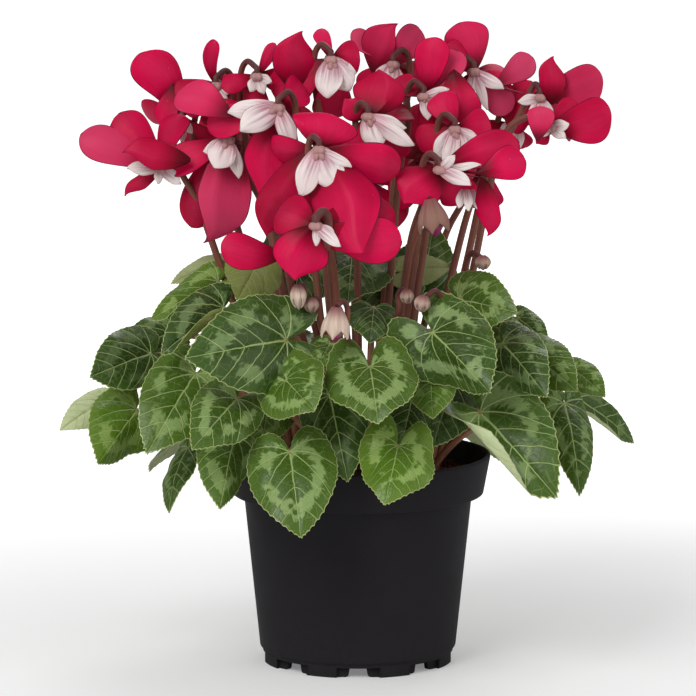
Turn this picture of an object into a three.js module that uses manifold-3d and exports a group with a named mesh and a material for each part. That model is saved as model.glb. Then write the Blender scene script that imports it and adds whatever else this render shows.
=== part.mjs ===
// Potted florist's cyclamen. Millimetres, Z up, the origin under the pot's axis on the surface it stands on.
// The front of the plant looks along -Y.
import * as THREE from "three";
import { mergeVertices } from "three/addons/utils/BufferGeometryUtils.js";
import Module from "manifold-3d";

const wasm = await Module();
wasm.setup();

const gap = 0.3;
const potHeight = 95;
const rimRadius = 60;
const rimDepth = 18;
const rimTaper = 3.2;
const shoulder = potHeight - rimDepth;
const bodyTopRadius = 51.6;
const bodyFootRadius = 44.5;
const footRadius = 43.2;
const footHeight = 7;
const footStep = 1.5;
const footRing = 5;
const notchCount = 8;
const notchHeight = 4.5;
const notchWidth = 19;
const notchDepth = 3;
const drainWidth = 9;
const potSegments = 28;
const soilSegments = 14;
const tuberSegments = 8;
const wall = 2;
const floorHeight = 6.8;
const soilTop = 86;
const tuberRadius = 24;
const stalkRadius = 1.5;
const petioleRadius = 1.2;
const coreRadius = 3.4;
const cupRadius = 3.4;
const petalThickness = 1.4;
const lobeThickness = 1.2;
const leafThickness = 1.6;
const leafNodeCount = 11;
const stubRing = 34;
const stubRadius = 3.2;
const stubLength = 12;
const stubAbove = 4;
const colours = {
  pot: 0x1e1d20, soil: 0x2a1512, crown: 0x6b3f3a, petals: 0xb3002d, calyx: 0xefe6e4, leaf: 0x2f5522,
  bud_opening: 0xe8d8c8, bud_brown: 0x7a5a50,
};

// Where a thing stands in the picture: across and down are pixels of its 696 by 696 frame, and depth is
// millimetres behind the pot's axis. The picture was taken level with the flowers, from 8 degrees above.
const frameMiddle = 348;
const pixel = 0.451;
const viewDistance = 1800;
const viewTilt = THREE.MathUtils.degToRad(8);
const lookAt = new THREE.Vector3(-4.5, 0, 142.6);
const forward = new THREE.Vector3(0, Math.cos(viewTilt), -Math.sin(viewTilt));
const upward = new THREE.Vector3(0, Math.sin(viewTilt), Math.cos(viewTilt));
const toViewer = forward.clone().negate();
const eye = lookAt.clone().addScaledVector(forward, -viewDistance);

function place(across, down, depth) {
  const ray = forward.clone();
  ray.x += (across - frameMiddle) * pixel / viewDistance;
  ray.addScaledVector(upward, (frameMiddle - down) * pixel / viewDistance);
  return eye.clone().addScaledVector(ray, (depth - eye.y) / ray.y);
}

// Each bloom: hub is its cup, side is where its stalk arches in from, and each petal is
// [across, down, back, width, roll] of its tip, with back in millimetres behind the hub, width in pixels
// and roll in degrees from facing the viewer. A lobe has no roll.
const blooms = [
  { hub: [319, 150], depth: -58, side: -1,
    petals: [[328, 113, 12, 62, 12], [401, 170, 6, 38, 8], [363, 250, 0, 60, 0],
      [272, 236, 10, 46, 15], [270, 150, 32, 30, -42]],
    lobes: [[300, 197, -4, 22], [336, 191, -4, 28], [352, 167, -1, 10]] },
  { hub: [316, 226], depth: -74, side: 1,
    petals: [[295, 281, 2, 42, 0], [403, 240, 8, 42, 8], [221, 245, 8, 34, 8],
      [277, 210, 16, 42, 20], [395, 207, 26, 46, -20]],
    lobes: [[335, 234, 1, 8], [341, 246, -6, 11], [316, 246, -1, 7]] },
  { hub: [278, 108], depth: -40, side: 1,
    petals: [[258, 206, 3, 52, 0], [207, 129, 8, 30, 10], [178, 98, 6, 40, 10],
      [305, 85, 23, 32, 30], [325, 125, 28, 30, -42]],
    lobes: [[227, 112, 1, 19], [240, 131, -7, 24], [294, 151, -4, 17]] },
  { hub: [228, 140], depth: -32, side: 1,
    petals: [[204, 244, 2, 52, 0], [188, 229, 12, 34, 20], [167, 170, 4, 32, 12],
      [222, 98, 23, 30, 30], [262, 150, 32, 28, -42]],
    lobes: [[214, 168, -8, 26], [239, 179, -1, 13], [203, 152, 0, 12]] },
  { hub: [440, 170], depth: -50, side: -1,
    petals: [[520, 143, 8, 34, 5], [526, 160, 0, 32, 0], [404, 204, 2, 44, 8],
      [487, 237, 6, 24, 20], [466, 206, 16, 38, 0]],
    lobes: [[471, 185, -6, 13], [482, 165, 0, 7], [455, 155, -4, 9]] },
  { hub: [331, 60], depth: -18, side: -1,
    petals: [[303, 31, 4, 42, 5], [360, 58, 6, 32, 10], [319, 28, 18, 16, 25],
      [274, 98, 12, 42, 20], [334, 120, 20, 38, -20]],
    lobes: [[327, 98, -8, 25], [350, 91, -2, 25], [357, 73, 1, 9]] },
  { hub: [368, 117], depth: -26, side: -1,
    petals: [[379, 69, 10, 48, 5], [345, 98, 8, 30, 25], [352, 165, 8, 34, 15],
      [402, 160, 13, 36, 25], [412, 112, 28, 28, -37]],
    lobes: [[378, 149, -5, 23], [415, 145, -6, 16], [407, 128, 1, 12]] },
  { hub: [424, 97], depth: -6, side: -1,
    petals: [[436, 37, 6, 32, 5], [464, 122, 0, 42, 0], [424, 150, 8, 28, 10],
      [392, 80, 17, 28, 30], [458, 50, 14, 36, -10]],
    lobes: [[449, 89, -4, 10], [447, 112, -4, 15], [428, 120, -4, 11]] },
  { hub: [455, 130], depth: -26, side: -1,
    petals: [[491, 124, 10, 30, 12], [440, 92, 14, 30, 15], [415, 140, 14, 28, 20],
      [490, 165, 19, 30, 30], [462, 190, 28, 30, -37]],
    lobes: [[434, 158, -1, 16], [462, 163, -4, 22], [480, 142, 0, 11], [447, 170, -8, 15]] },
  { hub: [160, 168], depth: -12, side: 1,
    petals: [[80, 135, 8, 38, 5], [114, 114, 14, 38, 10], [122, 152, -9, 28, 0],
      [124, 196, 9, 16, 30], [178, 112, 30, 30, -32]],
    lobes: [[127, 168, -1, 13], [181, 184, -3, 12], [158, 184, -1, 8]] },
  { hub: [178, 116], depth: 12, side: 1,
    petals: [[135, 57, 4, 43, 5], [164, 127, -2, 24, 12], [215, 84, 8, 24, 15],
      [205, 148, 17, 34, 25], [142, 112, 26, 28, -32]],
    lobes: [[166, 138, -1, 13], [182, 142, -6, 11], [192, 134, 0, 9]] },
  { hub: [216, 86], depth: 16, side: 1,
    petals: [[214, 39, 8, 16, 10], [176, 99, 2, 40, 10], [232, 78, 16, 26, 20],
      [250, 110, 19, 34, 25], [214, 128, 10, 30, -27]],
    lobes: [[205, 104, -3, 11], [226, 108, -3, 11], [234, 92, -2, 10]] },
  { hub: [257, 77], depth: 2, side: -1,
    petals: [[221, 86, 4, 22, 15], [275, 43, 8, 13, 10], [252, 118, 8, 32, 15],
      [296, 78, 17, 32, 25], [244, 98, 24, 24, -37]],
    lobes: [[250, 92, -3, 10], [264, 94, -3, 10], [272, 82, -2, 9]] },
  { hub: [393, 65], depth: 22, side: 1,
    petals: [[399, 24, 4, 33, 5], [352, 31, 8, 20, 15], [420, 28, 10, 34, 15],
      [360, 95, 15, 32, 25], [428, 85, 24, 30, -32]],
    lobes: [[385, 90, -7, 18], [400, 96, -1, 14], [374, 78, 1, 10]] },
  { hub: [474, 72], depth: 14, side: -1,
    petals: [[462, 22, 4, 44, 5], [446, 45, -2, 26, 12], [511, 112, 4, 28, 15],
      [455, 112, 15, 30, 25], [512, 74, 22, 22, -32]],
    lobes: [[504, 89, -3, 12], [488, 110, -4, 9], [470, 98, -3, 10]] },
  { hub: [540, 98], depth: 10, side: -1,
    petals: [[532, 56, 8, 26, 10], [554, 56, 2, 26, 8], [603, 78, 4, 40, 5],
      [508, 128, 15, 28, 25], [560, 116, 22, 26, -32]],
    lobes: [[518, 102, -3, 10], [530, 122, -3, 10], [552, 120, -3, 10]] },
  { hub: [550, 128], depth: -14, side: -1,
    petals: [[611, 112, 2, 44, 5], [577, 102, 8, 25, 15], [529, 108, 4, 32, 12],
      [536, 144, 11, 18, 30], [572, 132, 22, 24, -32]],
    lobes: [[569, 124, -3, 11], [566, 138, -3, 9], [538, 136, -3, 9]] },
  { hub: [515, 125], depth: 26, side: -1,
    petals: [[492, 82, 8, 30, 10], [530, 80, 12, 28, 15], [480, 140, 8, 30, 15],
      [526, 148, 13, 20, 25], [548, 112, 24, 26, -32]],
    lobes: [[508, 144, -3, 13], [520, 148, -3, 12], [500, 130, -2, 10]] },
  { hub: [244, 140], depth: 62, side: 1,
    petals: [[202, 112, 4, 38, 0], [236, 86, 2, 34, 10], [292, 112, 2, 36, 5],
      [218, 188, -4, 36, 25], [274, 190, -16, 36, -30]],
    lobes: [[234, 166, 9, 18], [256, 166, 9, 18], [268, 142, 8, 14]] },
  { hub: [366, 178], depth: 66, side: -1,
    petals: [[328, 142, 4, 38, 0], [376, 126, 2, 36, 10], [418, 162, 2, 36, 5],
      [340, 230, -4, 38, 25], [396, 228, -16, 40, -30]],
    lobes: [[356, 206, 9, 18], [378, 206, 9, 18], [390, 182, 8, 14]] },
  { hub: [420, 156], depth: 64, side: 1,
    petals: [[378, 124, 4, 38, 0], [422, 102, 2, 36, 10], [470, 132, 2, 38, 5],
      [394, 206, -4, 38, 25], [444, 198, -16, 38, -30]],
    lobes: [[410, 184, 9, 18], [432, 184, 9, 18], [444, 160, 8, 14]] },
  { hub: [480, 170], depth: 56, side: -1,
    petals: [[442, 146, 4, 36, 0], [484, 122, 2, 34, 10], [520, 156, 2, 34, 5],
      [460, 204, -4, 34, 25], [496, 206, -16, 32, -30]],
    lobes: [[470, 196, 9, 16], [492, 196, 9, 16], [502, 172, 8, 13]] },
];

// Half-open buds, a spindle each: top and foot of the spindle, its depth and its widest girth in pixels.
const buds = [
  { name: "bud_opening", top: [337, 307], foot: [335, 342], depth: -84, girth: 25, side: 1 },
  { name: "bud_brown", top: [430, 199], foot: [436, 236], depth: -50, girth: 28, side: -1 },
];
const smallBuds = [
  { top: [298, 286], foot: [298, 311], depth: -70, girth: 15, side: 1 },
  { top: [312, 298], foot: [311, 314], depth: -66, girth: 12, side: 1 },
  { top: [421, 288], foot: [419, 312], depth: -64, girth: 20, side: 1 },
  { top: [407, 290], foot: [407, 305], depth: -56, girth: 11, side: -1 },
  { top: [482, 256], foot: [482, 270], depth: -30, girth: 14, side: -1 },
];

// Each leaf: base is where the petiole meets the blade, then tip, each [across, down, depth], with the width
// of the blade in pixels and its roll in degrees from facing the viewer. sides is the share of its width that
// each half keeps where it folds back, or curls up if the share has a minus.
const leaves = [
  { base: [290, 452, -79], tip: [301, 537, -103], width: 86, roll: 0 },
  { base: [398, 446, -79], tip: [385, 503, -101], width: 74, roll: 0, back: 0.5, sides: [1.1, 0.8] },
  { base: [234, 437, -58], tip: [220, 509, -89], width: 66, roll: 0, sides: [0.5, 1] },
  { base: [188, 448, -34], tip: [168, 512, -60], width: 44, roll: 50 },
  { base: [330, 396, -58], tip: [348, 482, -77], width: 66, roll: 0 },
  { base: [370, 367, -79], tip: [378, 422, -103], width: 90, roll: -5, back: 0.55 },
  { base: [286, 380, -82], tip: [314, 411, -101], width: 72, roll: 0, back: 0.55 },
  { base: [237, 399, -72], tip: [193, 448, -98], width: 66, roll: 5 },
  { base: [195, 374, -50], tip: [147, 453, -79], width: 80, roll: 5 },
  { base: [130, 414, -26], tip: [98, 464, -53], width: 76, roll: 0, sides: [0.5, 1] },
  { base: [150, 354, -17], tip: [90, 377, -41], width: 66, roll: 10, sides: [-0.6, 1] },
  { base: [286, 340, -72], tip: [186, 358, -94], width: 96, roll: 5, back: 0.36 },
  { base: [224, 308, -36], tip: [162, 353, -62], width: 62, roll: 10, sides: [-0.55, 1] },
  { base: [218, 282, -7], tip: [151, 319, -29], width: 52, roll: 15, sides: [1, 0.7] },
  { base: [232, 262, 18], tip: [171, 283, 4], width: 36, roll: 35 },
  { base: [258, 264, -22], tip: [238, 299, -41], width: 58, roll: 0 },
  { base: [104, 402, -5], tip: [60, 430, -20], width: 38, roll: 20 },
  { base: [430, 374, -55], tip: [433, 419, -77], width: 50, roll: 0 },
  { base: [453, 382, -34], tip: [433, 446, -55], width: 76, roll: 5 },
  { base: [433, 333, -67], tip: [490, 393, -94], width: 94, roll: -5, back: 0.45, sides: [1, 0.45] },
  { base: [459, 300, -31], tip: [516, 312, -55], width: 68, roll: -10 },
  { base: [503, 344, -36], tip: [546, 395, -67], width: 64, roll: -5, sides: [1, 0.7] },
  { base: [492, 326, -10], tip: [533, 342, -26], width: 32, roll: -20 },
  { base: [530, 354, -7], tip: [577, 391, -36], width: 58, roll: -10, sides: [1, -0.8] },
  { base: [518, 318, 14], tip: [548, 344, 4], width: 34, roll: -20 },
  { base: [574, 370, 22], tip: [605, 396, 8], width: 36, roll: -15 },
  { base: [576, 398, 50], tip: [636, 443, 66], width: 38, roll: -25, sides: [1, 0.6] },
  { base: [480, 412, -58], tip: [556, 496, -86], width: 104, roll: -5, sides: [1, -0.5] },
  { base: [564, 404, -2], tip: [580, 495, -38], width: 50, roll: -20, sides: [1, 0.7] },
  { base: [374, 308, -46], tip: [370, 342, -60], width: 52, roll: 0, back: 0.15 },
  { base: [352, 256, 8], tip: [348, 302, -14], width: 88, roll: 0 },
  { base: [402, 272, 22], tip: [452, 266, 28], width: 36, roll: -20 },
  { base: [330, 344, -62], tip: [318, 366, -74], width: 36, roll: 10 },
  { base: [412, 398, -43], tip: [400, 452, -62], width: 62, roll: 0 },
  { base: [268, 404, -43], tip: [262, 446, -60], width: 56, roll: 0 },
  { base: [170, 334, 4], tip: [120, 352, -10], width: 52, roll: 20 },
  { base: [420, 302, 36], tip: [434, 222, 52], width: 70, roll: 0 },
  { base: [302, 248, 34], tip: [292, 316, 20], width: 84, roll: 0 },
  { base: [390, 264, 30], tip: [385, 336, 16], width: 74, roll: 0 },
];

// The leaves behind, where the picture doesn't reach: two rings of bearings in degrees from +X, with the
// reach and height of base and tip.
const backRings = [
  { bearings: [24, 50, 77, 104, 130, 156], base: [58, 112], tip: [103, 82], width: 48 },
  { bearings: [18, 50, 118, 152], base: [40, 142], tip: [84, 136], width: 42 },
];

// A closed mesh with shared vertices becomes a solid that can be joined and cut.
function solidOf(geometry) {
  const bare = geometry.clone();
  bare.deleteAttribute("normal");
  bare.deleteAttribute("uv");
  const merged = mergeVertices(bare, 1e-4);
  return new wasm.Manifold(new wasm.Mesh({
    numProp: 3,
    vertProperties: new Float32Array(merged.attributes.position.array),
    triVerts: new Uint32Array(merged.index.array),
  }));
}

// The largest body of a solid: what a cut leaves loose is dropped.
function geometryOf(solid) {
  const mesh = solid.getMesh();
  const owner = [...Array(mesh.vertProperties.length / mesh.numProp).keys()];
  const root = (i) => {
    while (owner[i] !== i) {
      i = owner[i];
    }
    return i;
  };
  const tris = mesh.triVerts;
  for (let t = 0; t < tris.length; t += 3) {
    owner[root(tris[t])] = root(tris[t + 1]);
    owner[root(tris[t + 1])] = root(tris[t + 2]);
  }
  const sizes = new Map();
  for (let t = 0; t < tris.length; t += 3) {
    const body = root(tris[t]);
    sizes.set(body, (sizes.get(body) ?? 0) + 1);
  }
  const largest = [...sizes].sort((a, b) => b[1] - a[1])[0][0];
  const kept = [];
  for (let t = 0; t < tris.length; t += 3) {
    if (root(tris[t]) === largest) {
      kept.push(tris[t], tris[t + 1], tris[t + 2]);
    }
  }
  const geometry = new THREE.BufferGeometry();
  geometry.setAttribute("position", new THREE.BufferAttribute(new Float32Array(mesh.vertProperties), 3));
  geometry.setIndex(kept);
  const plain = mergeVertices(geometry.toNonIndexed(), 1e-4);
  plain.computeVertexNormals();
  return plain;
}

function joined(solids) {
  return solids.reduce((whole, solid) => whole.add(solid));
}

function crosses(a, b) {
  return a.intersect(b).getMesh().triVerts.length > 0;
}

// A blade swells from a shared rim: rim points, inner points with their normals and swell to each side, and
// triangles over both, the same on its two faces. A stem is rings of four points that run on from a mouth
// left open in the rim, given as two rim points and the inner point between them.
function bladeSolid(rim, inner, triangles, stem) {
  const points = [...rim];
  inner.forEach(({ point, normal, swell }) => points.push(point.clone().addScaledVector(normal, swell)));
  inner.forEach(({ point, normal, swell }) => points.push(point.clone().addScaledVector(normal, -swell)));
  const under = (i) => (i < rim.length ? i : i + inner.length);
  const index = [];
  triangles.forEach(([a, b, c]) => index.push(a, b, c, under(a), under(c), under(b)));
  if (stem) {
    const [first, middle, last] = stem.mouth;
    let ring = [first, middle, last, under(middle)];
    stem.rings.forEach((corners) => {
      const next = corners.map((_, k) => points.length + k);
      points.push(...corners);
      next.forEach((corner, k) => {
        const after = (k + 1) % 4;
        index.push(ring[k], ring[after], next[after], ring[k], next[after], corner);
      });
      ring = next;
    });
    index.push(ring[0], ring[1], ring[2], ring[0], ring[2], ring[3]);
  }
  const geometry = new THREE.BufferGeometry();
  geometry.setAttribute("position", new THREE.Float32BufferAttribute(points.flatMap((p) => p.toArray()), 3));
  geometry.setIndex(index);
  return solidOf(geometry);
}

// The two directions across a blade that runs from base to tip and faces a given way, turned by roll.
function bladeFrame(base, tip, facing, roll) {
  const along = tip.clone().sub(base).normalize();
  const normal = facing.clone().addScaledVector(along, -facing.dot(along)).normalize();
  normal.applyAxisAngle(along, THREE.MathUtils.degToRad(roll));
  return { along, normal, across: along.clone().cross(normal) };
}

function petalWidth(u) {
  return 1.65 * u ** 0.9 * Math.sqrt(Math.max(0, 1 - u ** 3));
}

const petalRows = [0.3, 0.64, 0.9];
const lobeRows = [0.5];
const petalArch = 0.08;
const petalCup = 0.22;
const starRadius = 3;
const petalClaw = 0.6;
const lobeClaw = 0.36;
const widestSpan = 1.1;
const petalFullness = 1.18;

// A star of petals or lobes, grown from a swollen middle as one body. Each leaves the ring of the middle in
// its own direction, or a little to the side where it would meet the next one, and is arched along its length
// and cupped across it.
function starSolid(middle, blades, { rows, claw, swell, bladeSwell }) {
  const inTurn = blades.map((blade) => ({
    blade, at: Math.atan2(blade.tip.z - middle.z, blade.tip.x - middle.x) })).sort((a, b) => a.at - b.at);
  const follower = (i) => inTurn[(i + 1) % inTurn.length];
  const room = (i) => follower(i).at - inTurn[i].at + (i + 1 < inTurn.length ? 0 : 2 * Math.PI);
  for (let pass = 0; pass < 40; pass += 1) {
    inTurn.forEach((one, i) => {
      const push = Math.max(0, claw * 1.15 - room(i)) / 2;
      one.at -= push;
      follower(i).at += push;
    });
  }
  const rim = [];
  const claws = new Map();
  const addRingPoint = (turn) => rim.push(
    middle.clone().add(new THREE.Vector3(starRadius * Math.cos(turn), 0, starRadius * Math.sin(turn))));
  inTurn.forEach(({ blade, at }, i) => {
    claws.set(rim.length, blade);
    addRingPoint(at - claw / 2);
    addRingPoint(at + claw / 2);
    const open = room(i) - claw;
    const spans = Math.ceil(open / widestSpan);
    for (let k = 1; k < spans; k += 1) {
      addRingPoint(at + claw / 2 + open * k / spans);
    }
  });
  const ringLength = rim.length;
  const inner = [{ point: middle, normal: toViewer, swell }];
  const triangles = [];
  const centre = -1;
  for (let from = 0; from < ringLength; from += 1) {
    const to = (from + 1) % ringLength;
    const blade = claws.get(from);
    if (!blade) {
      triangles.push([centre, from, to]);
      continue;
    }
    const { normal, across } = bladeFrame(middle, blade.tip, toViewer, blade.roll);
    const length = middle.distanceTo(blade.tip);
    const peak = middle.clone().lerp(blade.tip, 0.5).addScaledVector(normal, length * petalArch);
    const spine = new THREE.QuadraticBezierCurve3(middle, peak, blade.tip);
    const firstRim = rim.length;
    const firstInner = inner.length;
    rows.forEach((u) => {
      const point = spine.getPoint(u);
      const half = blade.width / 2 * petalWidth(u);
      const side = (sign) => point.clone().addScaledVector(across, sign * half)
        .addScaledVector(normal, -half * petalCup);
      rim.push(side(-1), side(1));
      inner.push({ point, normal, swell: bladeSwell });
    });
    rim.push(blade.tip.clone());
    const left = (k) => firstRim + 2 * k;
    const right = (k) => firstRim + 2 * k + 1;
    const tip = firstRim + 2 * rows.length;
    const mid = (k) => -2 - (firstInner - 1) - k;
    const last = rows.length - 1;
    triangles.push([centre, mid(0), to], [centre, from, mid(0)]);
    triangles.push([to, mid(0), left(0)], [from, right(0), mid(0)]);
    for (let k = 0; k < last; k += 1) {
      triangles.push([left(k), mid(k + 1), left(k + 1)], [left(k), mid(k), mid(k + 1)]);
      triangles.push([mid(k), right(k + 1), mid(k + 1)], [mid(k), right(k), right(k + 1)]);
    }
    triangles.push([left(last), mid(last), tip], [mid(last), right(last), tip]);
  }
  const numbered = triangles.map((corners) => corners.map((c) => (c < 0 ? rim.length - c - 1 : c)));
  return bladeSolid(rim, inner, numbered);
}

// One side of the heart from the notch to the tip, as [along, across] of the blade's reach and half width.
const heart = new THREE.SplineCurve([[0, 0], [-0.16, 0.14], [-0.27, 0.42], [-0.2, 0.76], [0.02, 0.97],
  [0.26, 1], [0.5, 0.83], [0.74, 0.5], [0.91, 0.19], [1, 0]].map(([x, y]) => new THREE.Vector2(x, y)));
const heartBack = 0.27;
const heartMiddle = 0.3;
const rimSteps = 8;
const tooth = 0.035;
const innerRing = 0.55;
const hang = 0.26;
const hangPeak = 0.45;
const midribFold = 0.14;
const edgeDroop = 0.34;
const foldStart = 0.4;
const foldBack = 0.7;
const curlUp = 0.5;

// A leaf: a heart-shaped blade, toothed, folded a little along its midrib and hanging towards the tip, with
// its petiole running on from the notch to the foot.
function leafSolid(leaf, clearance) {
  const { from: base, to: tip, roll, facing, back } = leaf;
  const { along, normal, across } = bladeFrame(base, tip, facing, roll);
  const length = base.distanceTo(tip);
  const half = leaf.width / 2 + clearance;
  const lift = (x, y) => length * hang * (hangPeak ** 2 - (Math.max(x, 0) - hangPeak) ** 2)
    + half * (midribFold * Math.abs(y) - edgeDroop * y * y);
  const surface = (x, y) => {
    const share = y < 0 ? leaf.sides[0] : leaf.sides[1];
    const kept = 1 + (Math.abs(share) - 1) * THREE.MathUtils.clamp(x / foldStart, 0, 1);
    const fall = Math.abs(y) * half * Math.sqrt(Math.max(0, 1 - kept * kept));
    return base.clone().addScaledVector(along, x * length).addScaledVector(across, y * half * kept)
      .addScaledVector(normal, lift(x, y) + fall * (share < 0 ? curlUp : -foldBack));
  };
  const outline = [];
  for (let i = 0; i < 2 * rimSteps; i += 1) {
    const side = i <= rimSteps ? 1 : -1;
    const point = heart.getPoint((side > 0 ? i : 2 * rimSteps - i) / rimSteps);
    const x = point.x < 0 ? point.x * back / heartBack : point.x;
    const reach = i % rimSteps === 0 ? 1 : 1 + (i % 2 ? tooth : -tooth);
    outline.push([heartMiddle + (x - heartMiddle) * reach, side * point.y * reach]);
  }
  const thin = petioleRadius + clearance;
  const rim = outline.map(([x, y]) => surface(x, y));
  rim[0].addScaledVector(across, thin);
  rim.push(base.clone().addScaledVector(across, -thin));
  const swell = leafThickness / 2 + clearance;
  const inner = [{ point: surface(heartMiddle, 0), normal, swell }];
  for (let i = 0; i < outline.length; i += 2) {
    const [x, y] = outline[i];
    inner.push({ point: surface(heartMiddle + (x - heartMiddle) * innerRing, y * innerRing), normal, swell });
  }
  const mouthTilt = normal.clone().sub(along).normalize();
  inner.push({ point: base, normal: mouthTilt, swell: thin });
  const centre = rim.length;
  const ring = (j) => centre + 1 + (j % rimSteps);
  const notch = centre + inner.length - 1;
  const triangles = [[ring(0), notch, 0], [ring(0), rim.length - 1, notch]];
  for (let j = 0; j < rimSteps; j += 1) {
    triangles.push([2 * j, 2 * j + 1, ring(j)]);
    triangles.push([2 * j + 1, ring(j + 1), ring(j)]);
    triangles.push([2 * j + 1, 2 * j + 2, ring(j + 1)]);
    triangles.push([centre, ring(j), ring(j + 1)]);
  }
  const rings = [];
  let right = across.clone();
  let before = base;
  const centres = petiolePoints(leaf, along, normal);
  centres.forEach((middle, k) => {
    const goes = (centres[k + 1] ?? middle).clone().sub(middle).normalize();
    const heading = middle.clone().sub(before).normalize().add(goes).normalize();
    right = right.clone().addScaledVector(heading, -right.dot(heading)).normalize();
    const up = heading.clone().cross(right);
    const corner = (direction, sign) => middle.clone().addScaledVector(direction, sign * thin);
    rings.push([corner(right, 1), corner(up, 1), corner(right, -1), corner(up, -1)]);
    before = middle;
  });
  return bladeSolid(rim, inner, triangles, { mouth: [0, notch, rim.length - 1], rings });
}

// A round stem of few sides along a curve through the given points.
function stemSolid(points, radius, sides, steps) {
  const section = new THREE.Shape(Array.from({ length: sides }, (_, i) => {
    const turn = 2 * Math.PI * i / sides;
    return new THREE.Vector2(radius * Math.cos(turn), radius * Math.sin(turn));
  }));
  const path = new THREE.CatmullRomCurve3(points, false, "catmullrom", 0.5);
  return solidOf(new THREE.ExtrudeGeometry(section, { steps, bevelEnabled: false, extrudePath: path }));
}

function latheSolid(profile, segments) {
  const points = profile.map(([r, z]) => new THREE.Vector2(r, z));
  return solidOf(new THREE.LatheGeometry(points, segments).rotateX(Math.PI / 2));
}

const group = new THREE.Group();
group.name = "potted_cyclamen";

function addNode(name, solid, color, roughness) {
  const material = new THREE.MeshStandardMaterial({ color, roughness, metalness: 0 });
  const mesh = new THREE.Mesh(geometryOf(solid), material);
  mesh.name = name;
  group.add(mesh);
}

// Pot: a thin moulding with a deep rim, open at the top, on a stepped foot. Each notch in the foot is a
// shallow pocket with a narrower drain opening through the ring behind it.
function buildPot() {
  const ringInside = footRadius - footRing;
  const shell = latheSolid([[0, floorHeight], [0, floorHeight - wall], [ringInside, floorHeight - wall],
    [ringInside, 0], [footRadius, 0], [footRadius, footHeight - footStep], [bodyFootRadius, footHeight],
    [bodyTopRadius, shoulder - 1], [rimRadius - rimTaper, shoulder], [rimRadius, potHeight],
    [rimRadius - wall, potHeight], [rimRadius - rimTaper - wall, shoulder + 3],
    [bodyTopRadius - wall, shoulder + 1], [bodyFootRadius - wall - 1, floorHeight],
    [0, floorHeight]], potSegments);
  let pot = shell;
  for (let i = 0; i < notchCount; i += 1) {
    const pocket = new THREE.BoxGeometry(notchWidth, 2 * notchDepth, 2 * notchHeight);
    const drain = new THREE.BoxGeometry(drainWidth, 3 * footRing, 2 * notchHeight);
    [pocket, drain].forEach((cut) => {
      cut.translate(0, footRadius, 0);
      cut.rotateZ(2 * Math.PI * i / notchCount);
      pot = pot.subtract(solidOf(cut));
    });
  }
  return pot;
}

const place3 = (bearing, reach, height) => new THREE.Vector3(
  reach * Math.cos(bearing), reach * Math.sin(bearing), height);

const leafBearing = (index) => 2 * Math.PI * (index + 0.5) / leafNodeCount;
const stubFoot = (index, height) => place3(leafBearing(index), stubRing, height);
const tuberCentre = soilTop - 4;
const tuberSolid = (clearance) => latheSolid([[0, tuberCentre - 12 - clearance],
  [tuberRadius * 0.72 + clearance, tuberCentre - 8 - clearance], [tuberRadius + clearance, tuberCentre],
  [tuberRadius * 0.8 + clearance, tuberCentre + 6 + clearance],
  [0, tuberCentre + 9 + clearance]], tuberSegments);

// Soil: a plug inside the pot with an uneven top, a hollow for the tuber and a plain hole for each leaf stub.
function buildSoil() {
  const rings = [0.55, 0.85];
  const reach = rimRadius - wall - rimTaper;
  const top = rings.map((r) => [r * reach, soilTop + 0.9 * Math.sin(r * 17)]).reverse();
  const clear = gap + 0.15;
  let soil = latheSolid([[0, floorHeight + gap], [bodyFootRadius - wall - 1 - clear, floorHeight + gap],
    [bodyTopRadius - wall - clear, shoulder + 1 + clear],
    [rimRadius - rimTaper - wall - clear, shoulder + 3 + clear], [reach, soilTop - 1], ...top,
    [0, soilTop]], soilSegments);
  soil = soil.subtract(tuberSolid(gap));
  for (let i = 0; i < leafNodeCount; i += 1) {
    const depth = 2 * (stubLength - stubAbove + gap);
    const hole = new THREE.CylinderGeometry(stubRadius + 2 * gap, stubRadius + 2 * gap, depth, 6);
    hole.rotateX(Math.PI / 2);
    const foot = stubFoot(i, soilTop);
    hole.translate(foot.x, foot.y, foot.z);
    soil = soil.subtract(solidOf(hole));
  }
  return soil;
}

// The hook at a stalk's top, as steps from the flower it holds: below the bend, its outer and its inner end.
const hookSteps = [[9, 11, -26], [9.5, 10, -2], [5.5, 5, 6]];
const furthestRoot = 17;
const rootShare = 0.2;
const kneeHeight = 0.45;
const kneeLean = 0.12;

// A stalk rises from the tuber, passes behind its bloom and arches over into the top of the cup.
function stalkPoints(top, side, hook) {
  const reach = Math.min(furthestRoot, Math.hypot(top.x, top.y) * rootShare);
  const root = place3(Math.atan2(top.y, top.x), reach, tuberCentre + 3);
  const [under, outer, inner] = hookSteps.map(([x, y, z]) =>
    top.clone().add(new THREE.Vector3(side * x, y, z).multiplyScalar(hook)));
  const knee = root.clone().lerp(under, kneeHeight);
  knee.x -= (under.x - root.x) * kneeLean;
  knee.y -= (under.y - root.y) * kneeLean;
  return [root, knee, under, outer, inner, top];
}

const stalkSolid = (points, clearance) => stemSolid(points, stalkRadius + clearance, 4, 6);

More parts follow.
